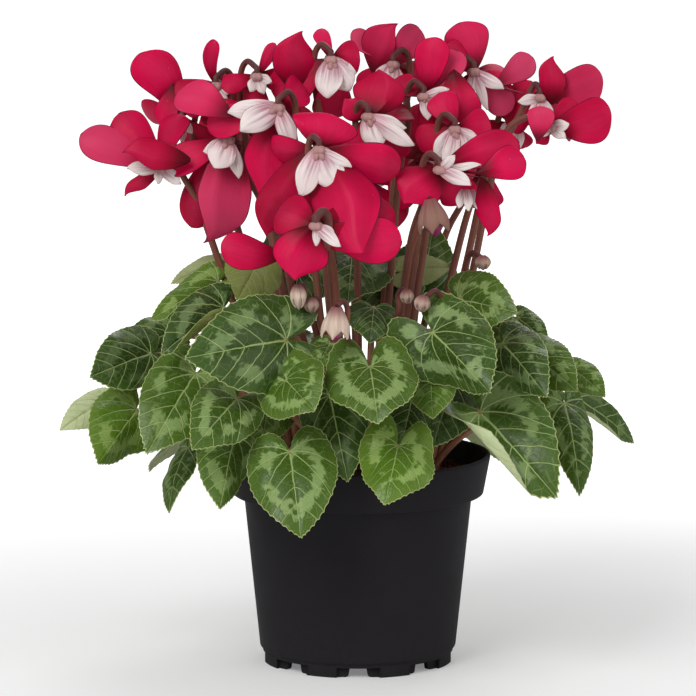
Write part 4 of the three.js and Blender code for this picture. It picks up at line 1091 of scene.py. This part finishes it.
def addBlade(batch, base, tip, width, roll, kind, shape, source, tone, bow=0.0, root=None):
    _, normal, across = bladeFrame(base, tip, toViewer, roll)
    length = np.linalg.norm(tip - base)
    # rows gather towards the tip and columns towards the rim
    u = (1 - (1 - np.linspace(0, 1, shape["rows"])) ** bladeShape["gatherRows"])[:, None]
    spread = np.linspace(-1, 1, shape["columns"])
    v = (np.sign(spread) * (1 - (1 - np.abs(spread)) ** bladeShape["gatherColumns"]))[None, :]
    peak = (base + tip) / 2 + normal * length * kind["arch"]
    spine = (1 - u) ** 2 * base + 2 * u * (1 - u) * peak + u ** 2 * tip
    tangent = 2 * (1 - u) * (peak - base) + 2 * u * (tip - peak)
    tangent = tangent / np.linalg.norm(tangent, axis=1, keepdims=True)
    raised = np.cross(across, tangent)
    lean = -1 if bow < 0 else 1 if bow > 0 else source.choice((-1, 1))
    late = np.clip((u - 0.5) / 0.5, 0, 1)
    sideways = bow * np.sin(math.pi * u) + kind["hook"] * lean * 3 * late * (1 - late) * late
    spine = spine + across * sideways * length
    half = width / 2 * np.maximum(widthProfile(u, kind, shape["stem"]), bladeShape["least"])
    skew = source.uniform(-1, 1) * shape["skew"]
    half = half * (1 + skew * v * np.sin(math.pi * u ** 1.4))
    twist = math.radians(source.uniform(-1, 1) * shape["twist"]) * u ** 1.5
    side = across * np.cos(twist) + raised * np.sin(twist)
    lifted = raised * np.cos(twist) - across * np.sin(twist)
    ridge = source.choice((-bladeShape["ridge"], bladeShape["ridge"])) if kind["fold"] > 0.13 else 0.0
    bend = -source.uniform(*kind["cup"]) * v ** 2 * half - kind["fold"] * np.abs(v - ridge) * half
    bend = bend + shape["crease"] * half * np.exp(-((v - ridge) / bladeShape["creaseWidth"]) ** 2) * (1 - u)
    phase = source.uniform(0, 6.28)
    bend = bend + kind["wave"] * width * np.sin(u * bladeShape["waves"] + phase + v) * np.abs(v) ** 2.5
    bend = bend - bladeShape["droop"] * length * np.maximum(0, u - bladeShape["droopFrom"]) ** 2
    grid = spine[:, None, :] + side[:, None, :] * (half * v)[..., None]
    grid = grid + lifted[:, None, :] * bend[..., None]
    if root is not None:
        # a narrow claw joins the blade to the tube
        claw = np.linspace(0, 1, clawShape["rows"] + 1)[:-1, None]
        narrow = spread[None, :, None] * across * clawShape["half"]
        stalked = (root + (spine[0] - root) * claw)[:, None, :] + narrow
        grid = np.concatenate([stalked, grid])
        u = np.concatenate([claw * clawShape["share"], u])
    rim = np.clip((np.abs(v) - bladeShape["rimFrom"]) / (1 - bladeShape["rimFrom"]), 0, 1)
    edge = np.maximum(rim, np.clip((u - bladeShape["tipFrom"]) / (1 - bladeShape["tipFrom"]), 0, 1))
    thin = thicknessOf(shape, edge)
    values = {"along": u * np.ones_like(v), "across": v * np.ones_like(u), "tone": tone, "rim": edge}
    addSheet(batch, grid, normal, thin / 2, **values)


def bloomShift(index, bloom):
    # the solids slide along the line of sight in steps of four millimetres where blooms would cross
    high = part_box(f"bloom_{index:02d}_calyx")[1][1] / mm
    furthest = max(lobe[2] for lobe in bloom["lobes"])
    expected = bloom["depth"] + max(body["cupRadius"] * math.cos(tilt), furthest)
    return 4 * round((high - expected) / 4)


# The cup and the knob at the root of each lobe are small rounded lathes, and brown is how much of the knob
# colour they take at their darker end.
cupShape = {
    "radius": 2.9, "height": 4.4, "lobes": 5, "depth": 0.16, "rings": 9, "segments": 30, "brown": 0.6,
    "knobRadius": 1.3, "knobLength": 4.6, "knobAt": 2.7, "knobFront": 0.9, "knobWidth": 12,
    "knobRings": 8, "knobSegments": 16,
}


def roundProfile(radius, half, bulge, rings):
    return [(radius * math.sin(t) * (1 + bulge * math.cos(t)), -half * math.cos(t))
            for t in np.linspace(0, math.pi, rings + 2)]


def addCup(batch, hub, tone):
    def ribbed(turns, height):
        return 1 + cupShape["depth"] * np.cos(cupShape["lobes"] * turns)
    rings, segments = cupShape["rings"], cupShape["segments"]
    brown = cupShape["brown"] * np.concatenate([np.repeat(np.linspace(0, 1, rings), segments), [0, 1]])
    profile = roundProfile(cupShape["radius"], cupShape["height"] / 2, 0.12, rings)
    addLathe(batch, profile, segments, hub, bump=ribbed, along=0.04, across=0.0, tone=tone, rim=brown)


def addKnob(batch, hub, tip, width, tone):
    size = min(1.0, width / cupShape["knobWidth"] * 0.62)
    axis = unit(tip - hub)
    rings, segments = cupShape["knobRings"], cupShape["knobSegments"]
    brown = cupShape["brown"] * np.concatenate([np.repeat(np.linspace(1, 0, rings), segments), [1, 0]])
    profile = roundProfile(cupShape["knobRadius"] * size, cupShape["knobLength"] / 2 * size, -0.2, rings)
    centre = hub + axis * cupShape["knobAt"] * size + toViewer * cupShape["knobFront"]
    addLathe(batch, profile, segments, centre, axis=axis, along=0.07, across=0.0, tone=tone, rim=brown)


def buildBloom(index, bloom):
    source = random.Random(petalShape["seed"] * 100 + index)
    depth = bloom["depth"] + bloomShift(index, bloom)

    def spotOf(across, down, back):
        return place(across, down, depth + back)
    hub = spotOf(*bloom["hub"], 0)
    behind = -1 if bloom["depth"] > 50 else 1
    core = hub + np.array([0, behind * (body["coreRadius"] + body["cupRadius"] + body["gap"] + 0.1), -0.5])
    corolla = newBatch()
    for petal in bloom["petals"]:
        start, root = (spotOf(*petal["start"]), core) if petal["start"] else (core, None)
        width = petal["width"] * view["pixel"] * petalShape["fullness"]
        drawn = source.uniform(*petalShape["tones"])
        tone = drawn if petal["tone"] is None else petal["tone"]
        addBlade(corolla, start, spotOf(*petal["tip"]), width, petal["roll"], petalKinds[petal["kind"]],
                 petalShape, source, tone, petal["bow"], root)
    bulb = roundProfile(petalShape["bulb"], petalShape["bulb"], 0, 10)
    addLathe(corolla, bulb, 20, core, along=0.1, across=0.0, tone=0.3, axis=(0, 1, 0))
    makePiece(f"corolla_{index:02d}", corolla, petalCrimson, [f"bloom_{index:02d}_petals"])
    calyx = newBatch()
    for across, down, back, width, *start in bloom["lobes"]:
        tip, foot = spotOf(across, down, back), spotOf(*start[0]) if start else hub
        tone = source.uniform(0, 1)
        fullWidth = width * view["pixel"] * lobeShape["fullness"]
        addBlade(calyx, foot, tip, fullWidth, 0, lobeKind, lobeShape, source, tone)
        if not start:
            addKnob(calyx, hub, tip, width, tone)
    addCup(calyx, hub, source.uniform(0, 1))
    makePiece(f"calyx_{index:02d}", calyx, calyxWhite, [f"bloom_{index:02d}_calyx"])
    return hub


hubs = [buildBloom(index, bloom) for index, bloom in enumerate(blooms, 1)]
print("blooms made,", len(hubs))


# Buds. top is where the stalk holds the bud and foot its tip, both (across, down), girth is in pixels, side
# and hook say how the stalk arches in, and tone runs from cream at 0 to brown at 1.
buds = [
    {"name": "bud_opening", "top": (337, 307), "foot": (335, 342), "depth": -84, "girth": 25, "side": 1,
     "hook": 0.6, "tone": 0.15},
    {"name": "bud_brown", "top": (430, 199), "foot": (436, 236), "depth": -50, "girth": 28, "side": -1,
     "hook": 0.4, "tone": 1.1},
]
budKeys = ("top", "foot", "depth", "girth", "side", "hook", "tone")
smallBudRows = [
    ((298, 285), (299, 311), -70, 13, 1, 0.4, 0.1),
    ((312, 298), (311, 314), -66, 12, 1, 0.4, 0.7),
    ((424, 296), (420, 313), -64, 13, 1, 1.15, 0.55),
    ((407, 290), (407, 305), -56, 11, -1, 0.5, 0.6),
    ((483, 256), (483, 271), -30, 13, -1, 0.95, 0.75),
]
smallBuds = [dict(zip(budKeys, row)) for row in smallBudRows]
budShape = {
    "sepals": 5, "rows": 16, "columns": 9, "thickness": 0.7, "rimThickness": 0.3, "reach": 0.9,
    "point": 1.15, "overlap": 1.1, "rings": 12, "segments": 20, "coreOpen": 1.03, "coreClosed": 0.97,
    "seed": 21,
}


def addBud(batch, bud, isOpen, source):
    top, foot = place(*bud["top"], bud["depth"]), place(*bud["foot"], bud["depth"])
    axis = unit(foot - top)
    length = np.linalg.norm(foot - top)
    girth = bud["girth"] * view["pixel"] / 2
    widest = 0.7 if isOpen else 0.5
    rings, segments = budShape["rings"], budShape["segments"]
    stretch = budShape["coreOpen"] if isOpen else budShape["coreClosed"]
    core = [(girth * 0.86 * math.sin(math.pi * t ** 0.9) ** 0.8, length * t * stretch)
            for t in np.linspace(0, 1, rings + 2)]
    tipRim = np.concatenate([np.repeat(np.linspace(0, 1, rings) ** 2 * 1.2, segments), [0, 1]])
    addLathe(batch, core, segments, top, axis=axis, tone=bud["tone"], rim=tipRim * (1 if isOpen else 0.25))
    side = unit(np.cross(axis, [0.2, 1, 0.1]))
    front = np.cross(axis, side)
    u = np.linspace(0, 1, budShape["rows"])[:, None]
    v = np.linspace(-1, 1, budShape["columns"])[None, :]
    for k in range(budShape["sepals"]):
        middle = 2 * math.pi * (k + 0.25) / budShape["sepals"]
        narrowed = np.where(u < widest, 1, ((1 - u) / (1 - widest)) ** budShape["point"])
        turn = middle + math.pi / budShape["sepals"] * budShape["overlap"] * narrowed * v
        if isOpen:
            reach = girth * (0.3 + 0.75 * np.sin(np.minimum(u, 0.8) * math.pi / 1.6) ** 1.1)
        else:
            reach = girth * (0.25 + 0.8 * np.sin(math.pi * np.minimum(u, 0.97) ** 0.9) ** 0.8)
        reach = reach * (1 - 0.1 * v ** 2) + 0.25
        outward = np.cos(turn)[..., None] * side + np.sin(turn)[..., None] * front
        run = length * budShape["reach"] * u * 0.98
        grid = top + axis * run[..., None] + outward * (reach * np.ones_like(v))[..., None]
        facing = np.cos(middle) * side + np.sin(middle) * front
        edge = np.abs(v) ** 4 * np.ones_like(u)
        thin = thicknessOf(budShape, edge)
        addSheet(batch, grid, facing, thin / 2, along=u * np.ones_like(v), across=v * np.ones_like(u),
                 tone=bud["tone"] * 0.8 + source.uniform(0, 0.15))


def buildBuds():
    source = random.Random(budShape["seed"])
    for bud in buds:
        batch = newBatch()
        addBud(batch, bud, True, source)
        makePiece(bud["name"] + "_sepals", batch, budSkin, [bud["name"]])
    batch = newBatch()
    for bud in smallBuds:
        addBud(batch, bud, False, source)
    makePiece("small_buds", batch, budSkin, ["crown"])


buildBuds()
print("buds made")


# Stalks and tuber. hook lists the steps of an arch from its bloom, knee and bend are the shares of the way
# (up, out) where a stalk bends, and thick, hookSize, lean and via are for single blooms by number: via lists
# the points (across, down) that a long arch runs through.
stalkShape = {
    "hook": ((7, 12, -18), (7.5, 9.5, -3.5), (4.5, 5, 2.6)), "furthestRoot": 19, "rootShare": 0.2,
    "knee": (0.45, 0.44), "bend": (0.84, 0.74), "steps": 72, "sides": 14, "foot": 1.85, "top": 1.3,
    "budThick": 0.9, "seed": 5, "thick": {2: 1.4}, "hookSize": {1: 0.6, 2: 0.7, 7: 0.75, 16: 0.6, 17: 0.7},
    "lean": {10: 0.03},
    "via": {17: ((487, 200), (496, 160), (509, 128), (530, 116)), 16: ((484, 185), (500, 150), (521, 112)),
            10: ((210, 236), (200, 205), (184, 178))},
}


tuberShape = {
    "top": body["soilTop"] - 4, "segments": 72,
    "profile": ((0, -12), (0.72, -8), (0.95, -3), (1, 0), (0.93, 3.5), (0.8, 6), (0.4, 8.2), (0, 9)),
}


def stalkPath(top, side, hook, lean=0.0, via=None, depth=0.0):
    bearing = math.atan2(top[1], top[0])
    reach = min(stalkShape["furthestRoot"], math.hypot(top[0], top[1]) * stalkShape["rootShare"])
    root = np.array([reach * math.cos(bearing), reach * math.sin(bearing), tuberShape["top"] + 3])
    under, far, inner = (top + np.array([side * x, y, z]) * hook for x, y, z in stalkShape["hook"])
    # a stalk stands straight to its knee and only bends outwards near the bloom
    way = under - root
    (kneeUp, kneeOut), (bendUp, bendOut) = stalkShape["knee"], stalkShape["bend"]
    knee = root + way * [kneeOut + lean, kneeOut + lean, kneeUp]
    bend = root + way * [bendOut + lean / 2, bendOut + lean / 2, bendUp]
    if via:
        arch = [place(*spot, depth + hook * (4 + 3 * k)) for k, spot in enumerate(reversed(via))]
        return catmull([root, knee, *reversed(arch), inner, top], stalkShape["steps"])
    return catmull([root, knee, bend, under, far, inner, top], stalkShape["steps"])


def addStalk(batch, path, thick, tone):
    u = np.linspace(0, 1, len(path))
    radii = (stalkShape["foot"] + (stalkShape["top"] - stalkShape["foot"]) * u ** 0.7) * thick
    addTube(batch, path, radii, stalkShape["sides"], tone=tone)


def buildStalks():
    source = random.Random(stalkShape["seed"])
    batch = newBatch()
    for index, (bloom, hub) in enumerate(zip(blooms, hubs), 1):
        path = stalkPath(hub + np.array([0, 0, 4.0]), bloom["side"], stalkShape["hookSize"].get(index, 1),
                         stalkShape["lean"].get(index, 0.0), stalkShape["via"].get(index), bloom["depth"])
        path = np.concatenate([path, [hub + np.array([0, 0, 1.5])]])
        addStalk(batch, path, stalkShape["thick"].get(index, 1), source.random())
    for bud, sink in [(b, 0.4) for b in buds] + [(b, -1.5) for b in smallBuds]:
        top = place(*bud["top"], bud["depth"]) + np.array([0, 0, sink])
        addStalk(batch, stalkPath(top, bud["side"], bud["hook"]), stalkShape["budThick"], source.random())
    makePiece("flower_stalks", batch, stalkSkin, ["crown"])


def buildTuber():
    def lumpy(turns, height):
        return 0.97 + 0.025 * np.sin(5 * turns + height) + 0.012 * np.sin(13 * turns + 2 * height)
    tuber = newBatch()
    profile = [(body["tuber"] * share, tuberShape["top"] + height)
               for share, height in tuberShape["profile"]]
    addLathe(tuber, profile, tuberShape["segments"], bump=lumpy)
    makePiece("tuber_top", tuber, tuberCork, ["crown"])


buildStalks()
buildTuber()
print("stalks made")


# Leaves. A row is (base, tip, width, roll, litTone, extras): base is where the petiole meets the blade, both
# ends are (across, down, depth), the width is in pixels, the roll in degrees, and litTone runs from dark
# green at 0 to yellowish green at 1, partly the leaf's own tone and partly painted light: low on leaves that
# stand in
# shade, high on lit ones. Extras: sides is the share of its width that each half keeps, and a half with
# a minus curls up; back is how far the lobes reach behind the base; pale is how light the underside is;
# faint weakens the silver band, and is set high on the shaded leaves as painted shade too; under turns the
# pale side to the viewer.
heartBack = 0.27
leaves = [
    ((290, 452, -79), (301, 537, -103), 86, 0, 0.42, {}),
    ((398, 446, -79), (385, 503, -101), 74, 0, 0.85, {"sides": (1.1, 0.8), "back": 0.5}),
    ((234, 437, -58), (220, 509, -89), 66, 0, 0.45, {"sides": (0.5, 1), "faint": 0.3}),
    ((188, 448, -34), (168, 512, -60), 44, 50, 0.25, {"faint": 0.5}),
    ((330, 396, -58), (348, 482, -77), 66, 0, 0.15, {"faint": 0.75}),
    ((370, 367, -79), (378, 422, -103), 90, -5, 0.42, {"back": 0.55}),
    ((286, 380, -82), (314, 411, -101), 72, 0, 0.55, {"back": 0.55}),
    ((237, 399, -72), (193, 448, -98), 66, 5, 0.35, {}),
    ((195, 374, -50), (147, 453, -79), 80, 5, 0.5, {"faint": 0.25}),
    ((137, 410, -26), (98, 464, -53), 78, 0, 0.9, {"sides": (0.5, 1), "faint": 0.35}),
    ((150, 354, -17), (90, 377, -41), 70, 10, 0.12, {"sides": (-0.8, 1), "pale": 0.25, "faint": 0.8}),
    ((286, 340, -72), (186, 358, -94), 96, 5, 0.15, {"back": 0.36, "faint": 0.4}),
    ((224, 308, -36), (162, 353, -62), 62, 10, 0.08, {"sides": (-0.2, 1), "pale": 0.12, "faint": 0.4}),
    ((218, 282, -7), (151, 319, -29), 52, 15, 0.8, {"sides": (-0.3, 0.8), "pale": 0.2}),
    ((232, 262, 18), (171, 283, 4), 36, 35, 0.6, {"pale": 0.5, "under": 1}),
    ((258, 264, -22), (238, 299, -41), 58, 0, 0.1, {"pale": 0.08, "under": 1}),
    ((104, 402, -5), (60, 430, -20), 38, 20, 0.95, {"pale": 0.95, "under": 1}),
    ((430, 374, -55), (433, 419, -77), 50, 0, 0.68, {"faint": 0.5}),
    ((453, 382, -34), (433, 446, -55), 76, 5, 0.05, {"faint": 0.85}),
    ((433, 333, -67), (490, 393, -94), 94, -5, 0.18, {"sides": (1, 0.45), "back": 0.45}),
    ((459, 300, -31), (516, 312, -55), 68, -10, 0.45, {}),
    ((503, 344, -36), (546, 395, -67), 64, -5, 0.1, {"sides": (1, 0.7), "faint": 0.45}),
    ((492, 326, -10), (533, 342, -26), 32, -20, 0.7, {}),
    ((530, 354, -7), (577, 391, -36), 58, -10, 0.5, {"sides": (1, -0.6), "pale": 0.85, "faint": 0.35}),
    ((518, 318, 14), (548, 344, 4), 34, -20, 0.3, {}),
    ((574, 370, 22), (605, 396, 8), 36, -15, 0.7, {}),
    ((576, 398, 50), (636, 443, 66), 38, -25, 0.3, {"sides": (1, -0.5), "pale": 0.7, "faint": 0.6}),
    ((480, 412, -58), (556, 496, -86), 104, -5, 0.3, {"sides": (1, -0.34), "pale": 1, "faint": 0.4}),
    ((564, 404, -2), (580, 495, -38), 50, -20, 0.35, {"sides": (1, 0.7), "faint": 0.3}),
    ((374, 308, -46), (370, 342, -60), 52, 0, 0.03, {"back": 0.15, "faint": 1}),
    ((352, 256, 8), (348, 302, -14), 88, 0, 0.1, {"faint": 0.5}),
    ((402, 272, 22), (452, 266, 28), 36, -20, 0.5, {"pale": 0.35, "under": 1}),
    ((330, 344, -62), (318, 366, -74), 36, 10, 0.4, {}),
    ((412, 398, -43), (400, 452, -62), 62, 0, 0.1, {"faint": 0.8}),
    ((268, 404, -43), (262, 446, -60), 56, 0, 0.6, {"faint": 0.4}),
    ((170, 334, 4), (120, 352, -10), 52, 20, 0.25, {"faint": 0.5}),
    ((420, 302, 36), (434, 222, 52), 70, 0, 0.2, {"faint": 0.8}),
    ((302, 248, 34), (292, 316, 20), 84, 0, 0.08, {"faint": 0.7}),
    ((390, 264, 30), (385, 336, 16), 74, 0, 0.03, {"faint": 0.7}),
]
plainLeaf = {"sides": (1, 1), "back": heartBack, "pale": 0.5, "faint": 0, "under": 0}
# Rings of leaves round the back: their bearings in degrees, and both ends as (out, up) in millimetres.
backRings = [
    {"bearings": (24, 50, 77, 104, 130, 156), "base": (58, 112), "tip": (103, 82), "width": 48},
    {"bearings": (18, 50, 118, 152), "base": (40, 142), "tip": (84, 136), "width": 42},
]
heartOutline = [(0, 0), (-0.16, 0.13), (-0.27, 0.42), (-0.2, 0.77), (0.02, 0.98), (0.26, 1), (0.5, 0.87),
                (0.74, 0.57), (0.91, 0.24), (1, 0)]
leafShape = {
    "middle": 0.3, "rings": 12, "sideSteps": 72, "teeth": 0.02, "hang": 0.26, "hangPeak": 0.45, "fold": 0.14,
    "droop": 0.34, "half": 0.45, "rimHalf": 0.16, "wave": 0.05, "groove": 0.45, "seed": 8,
    "foldStart": 0.4, "foldBack": 0.7, "curlRadius": 0.12, "curlTurn": 112, "curlRise": 0.7,
    "ringGather": 0.8, "grooveMiddle": 0.4,
}
# A petiole starts in its blade, drops behind it to the neck, arches over the rim and ends in the soil. Each
# step of its way has its share of the way out and of the rise.
petioleShape = {
    "inBlade": (1.2, 0.5), "below": (0.6, 1.4), "neck": (2, 4), "arch": (0.68, 0.94), "rise": (0.25, 0.55),
    "crest": 7, "depth": 6, "spread": 1.4, "fan": 0.03, "steps": 44, "sides": 10, "top": 1.25, "foot": 1.7,
}


def outlineOf(back, source):
    side = catmull(heartOutline, leafShape["sideSteps"] + 1, clamped=True)
    side[:, 0] = np.where(side[:, 0] < 0, side[:, 0] * back / heartBack, side[:, 0])
    other = side[-2:0:-1] * [1, -1]
    outline = np.concatenate([side, other])
    teeth = np.zeros(len(outline))
    for i in range(len(outline)):
        if min(i, len(outline) - i) > 4:
            teeth[i] = leafShape["teeth"] * (1 if i % 3 == 1 else -0.35) * source.uniform(0.5, 1.3)
    centre = np.array([leafShape["middle"], 0])
    return centre + (outline - centre) * (1 + teeth)[:, None]


def veinNearness(u, side):
    # how close a spot of the blade lies to a main vein, from 0 to 1, by the same rule as the drawn veins
    reach = np.hypot(u, side) + 1e-6
    swept = np.arctan2(np.abs(side), u) / (1 - np.minimum(reach, 1.4) * veins["sweep"])
    away = np.min([np.abs(swept - at) * reach for at in veins["turns"]], axis=0)
    return np.exp(-(away / 0.035) ** 2)


def foldedSides(x, y, half, sides):
    # The share of its width that each half of the blade keeps, which grows from the notch on: the half falls
    # away behind. With a minus the half curls up at that share and shows its underside.
    share = np.where(y < 0, sides[0], sides[1])
    near = np.clip(np.maximum(x, 0) / leafShape["foldStart"], 0, 1)
    kept = 1 + (np.abs(share) - 1) * near
    back = np.sqrt(np.maximum(0, 1 - kept ** 2))
    curve = leafShape["curlRadius"]
    turn = math.radians(leafShape["curlTurn"]) * (0.5 + 0.5 * np.clip((x + 0.25) / 0.5, 0, 1))
    beyond = np.maximum(0, np.abs(y) - np.maximum(0, np.abs(share) - curve))
    arc = np.minimum(beyond, curve * turn)
    rest = beyond - arc
    angle = arc / curve
    out = np.abs(y) - beyond + curve * np.sin(angle) + rest * np.cos(angle)
    up = curve * (1 - np.cos(angle)) + rest * np.sin(angle)
    run = np.where(share < 0, np.sign(y) * out, y * kept)
    rise = np.where(share < 0, up * leafShape["curlRise"], -leafShape["foldBack"] * np.abs(y) * back)
    return run * half, rise * half, np.where(share < 0, np.sign(y) * angle, 0)


def addLeafBlade(batch, leaf, number):
    source = random.Random(leafShape["seed"] * 1000 + number)
    along, normal, across = bladeFrame(leaf["base"], leaf["tip"], leaf["facing"], leaf["roll"])
    length = np.linalg.norm(leaf["tip"] - leaf["base"])
    half = leaf["width"] / 2
    outline = outlineOf(leaf["back"], source)
    centre = np.array([leafShape["middle"], 0])
    shares = np.linspace(0, 1, leafShape["rings"] + 1)[1:] ** leafShape["ringGather"]
    flat = centre + (outline[None] - centre) * shares[:, None, None]
    flat = np.concatenate([flat.reshape(-1, 2), [centre]])
    x, y = flat[:, 0], flat[:, 1]
    rho = np.concatenate([np.repeat(shares, len(outline)), [0]])
    peak = leafShape["hangPeak"]
    lift = length * leafShape["hang"] * (peak ** 2 - (np.maximum(x, 0) - peak) ** 2)
    lift += half * (leafShape["fold"] * np.abs(y) - leafShape["droop"] * y * y)
    turn = np.arctan2(y * half, (x - leafShape["middle"]) * length)
    waves, phase = source.choice((4, 5, 6)), source.uniform(0, 6.28)
    lift += leafShape["wave"] * half * rho ** 3 * np.sin(waves * turn + phase)
    metric = y * half / length
    run, rise, tilt = foldedSides(x, y, half, leaf["sides"])
    lift += rise
    groove = leafShape["grooveMiddle"] - veinNearness(x, metric)
    lift += leafShape["groove"] * groove * np.minimum(1, (1 - rho) * 4)
    points = leaf["base"] + along * (x * length)[:, None] + across * run[:, None] + normal * lift[:, None]
    thin = leafShape["rimHalf"] + (leafShape["half"] - leafShape["rimHalf"]) * (1 - rho ** 6)
    count = len(outline)
    rings = leafShape["rings"]
    outward = normal * np.cos(tilt)[:, None] - across * np.sin(tilt)[:, None]
    upper = points + outward * thin[:, None]
    lower = points - outward * thin[:, None]
    total = len(points)
    faces = gridFaces(rings, count, wrap=True) + [(total - 1, k, (k + 1) % count) for k in range(count)]
    faces = [tuple(reversed(face)) for face in faces]
    faces += [tuple(total + corner for corner in reversed(face)) for face in faces]
    last = (rings - 1) * count
    faces += [(last + k, last + (k + 1) % count, total + last + (k + 1) % count, total + last + k)
              for k in range(count)]
    below = 0.5 + leaf["pale"] / 2
    above = 0.15 * leaf["faint"]
    unders = [below, above] if leaf["under"] else [above, below]
    addPart(batch, np.concatenate([upper, lower]), faces, along=np.tile(x, 2), across=np.tile(metric, 2),
            tone=number + min(0.97, leaf["litTone"]), under=np.repeat(unders, total), rim=np.tile(rho, 2))


def petiolePath(leaf, number):
    along, normal, _ = bladeFrame(leaf["base"], leaf["tip"], leaf["facing"], leaf["roll"])
    bearing = 2 * math.pi * (leaf["node"] + 0.5) / body["leafNodes"]
    bearing += petioleShape["fan"] * (number % 4 - 1.5)
    reach = body["stubRing"] + petioleShape["spread"] * (number % 3 - 1)
    foot = np.array([reach * math.cos(bearing), reach * math.sin(bearing), body["soilTop"] + 1])
    crest = max(leaf["base"][2] + 1, body["potHeight"] + petioleShape["crest"])

    def stepOf(out, up):
        spot = foot + (leaf["base"] - foot) * out
        spot[2] = foot[2] + (crest - foot[2]) * up
        return spot

    def belowBlade(back, drop):
        return leaf["base"] - along * back - normal * drop
    (ahead, sunk), below, neck = (petioleShape[name] for name in ("inBlade", "below", "neck"))
    return catmull([belowBlade(-ahead, sunk), belowBlade(*below), belowBlade(*neck),
                    stepOf(*petioleShape["arch"]), stepOf(*petioleShape["rise"]), foot,
                    foot - np.array([0, 0, petioleShape["depth"]])], petioleShape["steps"])


def gatherLeaves():
    gathered = []
    for base, tip, width, roll, litTone, extra in leaves:
        gathered.append({
            **plainLeaf, "base": place(*base), "tip": place(*tip), "width": width * view["pixel"],
            "roll": roll, "litTone": litTone, "facing": toViewer, **extra})
    source = random.Random(leafShape["seed"])
    for ring in backRings:
        for i, degrees in enumerate(ring["bearings"]):
            bearing = math.radians(degrees)
            sway = 3 if i % 2 else -3
            out = np.array([math.cos(bearing), math.sin(bearing), 0])
            gathered.append({
                **plainLeaf, "base": out * (ring["base"][0] + sway) + [0, 0, ring["base"][1] + sway],
                "tip": out * (ring["tip"][0] + sway) + [0, 0, ring["tip"][1] - sway], "width": ring["width"],
                "roll": 0, "litTone": source.uniform(0.1, 0.7), "facing": unit(out * 0.7 + [0, 0, 0.8]),
                "faint": 0.3})
    for leaf in gathered:
        turn = math.atan2(leaf["base"][1], leaf["base"][0]) / (2 * math.pi) % 1
        leaf["node"] = int(turn * body["leafNodes"])
    return gathered


def buildLeaves():
    gathered = gatherLeaves()
    for node in range(body["leafNodes"]):
        blades, stems = newBatch(), newBatch()
        for number, leaf in enumerate(gathered):
            if leaf["node"] != node:
                continue
            addLeafBlade(blades, leaf, number)
            path = petiolePath(leaf, number)
            radii = np.linspace(petioleShape["top"], petioleShape["foot"], len(path))
            addTube(stems, path, radii, petioleShape["sides"], tone=(number * 0.37) % 1)
        nodeName = f"leaves_{node + 1:02d}"
        makePiece(f"blades_{node + 1:02d}", blades, leafMarbled, [nodeName])
        makePiece(f"petioles_{node + 1:02d}", stems, petioleSkin, [nodeName])


buildLeaves()
print("leaves made")


# Studio: a pale floor, soft lights and the picture's camera

studio = {
    "world": 0.32, "floor": (0.8, 0.8, 0.8), "floorLight": (0.84, 0.84, 0.84), "floorHalf": 6,
    "roughness": 0.8, "specular": 0.2, "mottle": (3.0, 0.5), "glow": (0.2, 0.84), "glowFrom": (0.05, 0.9),
    "aim": (0, 0, 0.17),
}
# Each light: its energy, its size and where it stands.
lights = {
    "keyLight": (26, 1.1, (-0.9, -1.5, 1.5)), "fillLight": (7, 1.4, (1.5, -1.0, 0.8)),
    "rimLight": (10, 1.0, (0.5, 1.4, 1.5)),
}


def addLight(name, energy, size, at):
    data = bpy.data.lights.new(name, "AREA")
    data.energy = energy
    data.size = size
    light = bpy.data.objects.new(name, data)
    light.location = at
    direction = np.array(studio["aim"]) - np.array(at)
    light.rotation_euler = Vector(direction).to_track_quat("-Z", "Y").to_euler()
    bpy.context.scene.collection.objects.link(light)


def buildFloor():
    material, tree, shader = newMaterial("paleFloor", studio)
    mottle = mottleOf(tree, objectPlace(tree), *studio["mottle"])
    tree.links.new(blended(tree, mottle, studio["floor"], studio["floorLight"]), shader.inputs["Base Color"])
    # painted light: the floor glows for the camera only and grows brighter away from the plant, like a lit
    # paper sweep, staying darker near the pot
    away = tree.nodes.new("ShaderNodeVectorMath")
    away.operation = "LENGTH"
    tree.links.new(objectPlace(tree), away.inputs[0])
    seen = tree.nodes.new("ShaderNodeLightPath").outputs["Is Camera Ray"]
    bright = ranged(tree, away.outputs["Value"], *studio["glowFrom"], *studio["glow"])
    shader.inputs["Emission Color"].default_value = (1, 1, 1, 1)
    tree.links.new(times(tree, seen, bright), shader.inputs["Emission Strength"])
    half = studio["floorHalf"]
    mesh = bpy.data.meshes.new("studio_floor")
    corners = [(-half, -half, 0), (half, -half, 0), (half, half, 0), (-half, half, 0)]
    mesh.from_pydata(corners, [], [(0, 1, 2, 3)])
    mesh.materials.append(material)
    floor = bpy.data.objects.new("studio_floor", mesh)
    bpy.context.scene.collection.objects.link(floor)


def buildWorld():
    world = bpy.data.worlds.new("softWorld")
    bpy.context.scene.world = world
    world.use_nodes = True
    tree = world.node_tree
    background = tree.nodes["Background"]
    background.inputs["Color"].default_value = (1, 1, 1, 1)
    seen = tree.nodes.new("ShaderNodeLightPath").outputs["Is Camera Ray"]
    strength = calc(tree, "MULTIPLY_ADD", seen, 1.0 - studio["world"], studio["world"])
    tree.links.new(strength, background.inputs["Strength"])


def addCamera():
    camera = bpy.data.objects.new("pictureCamera", bpy.data.cameras.new("pictureCamera"))
    camera.data.sensor_width = view["sensor"]
    camera.data.lens = view["sensor"] / 2 / (view["frameMiddle"] * view["pixel"] / view["distance"])
    camera.data.clip_start, camera.data.clip_end = view["clip"]
    camera.location = eye * mm
    camera.rotation_euler = (math.radians(90 - view["tilt"]), 0, 0)
    bpy.context.scene.collection.objects.link(camera)
    bpy.context.scene.camera = camera
    bpy.context.scene.view_settings.view_transform = "Standard"


buildFloor()
for lightName, (energy, size, at) in lights.items():
    addLight(lightName, energy, size, at)
buildWorld()
addCamera()
print("studio made")
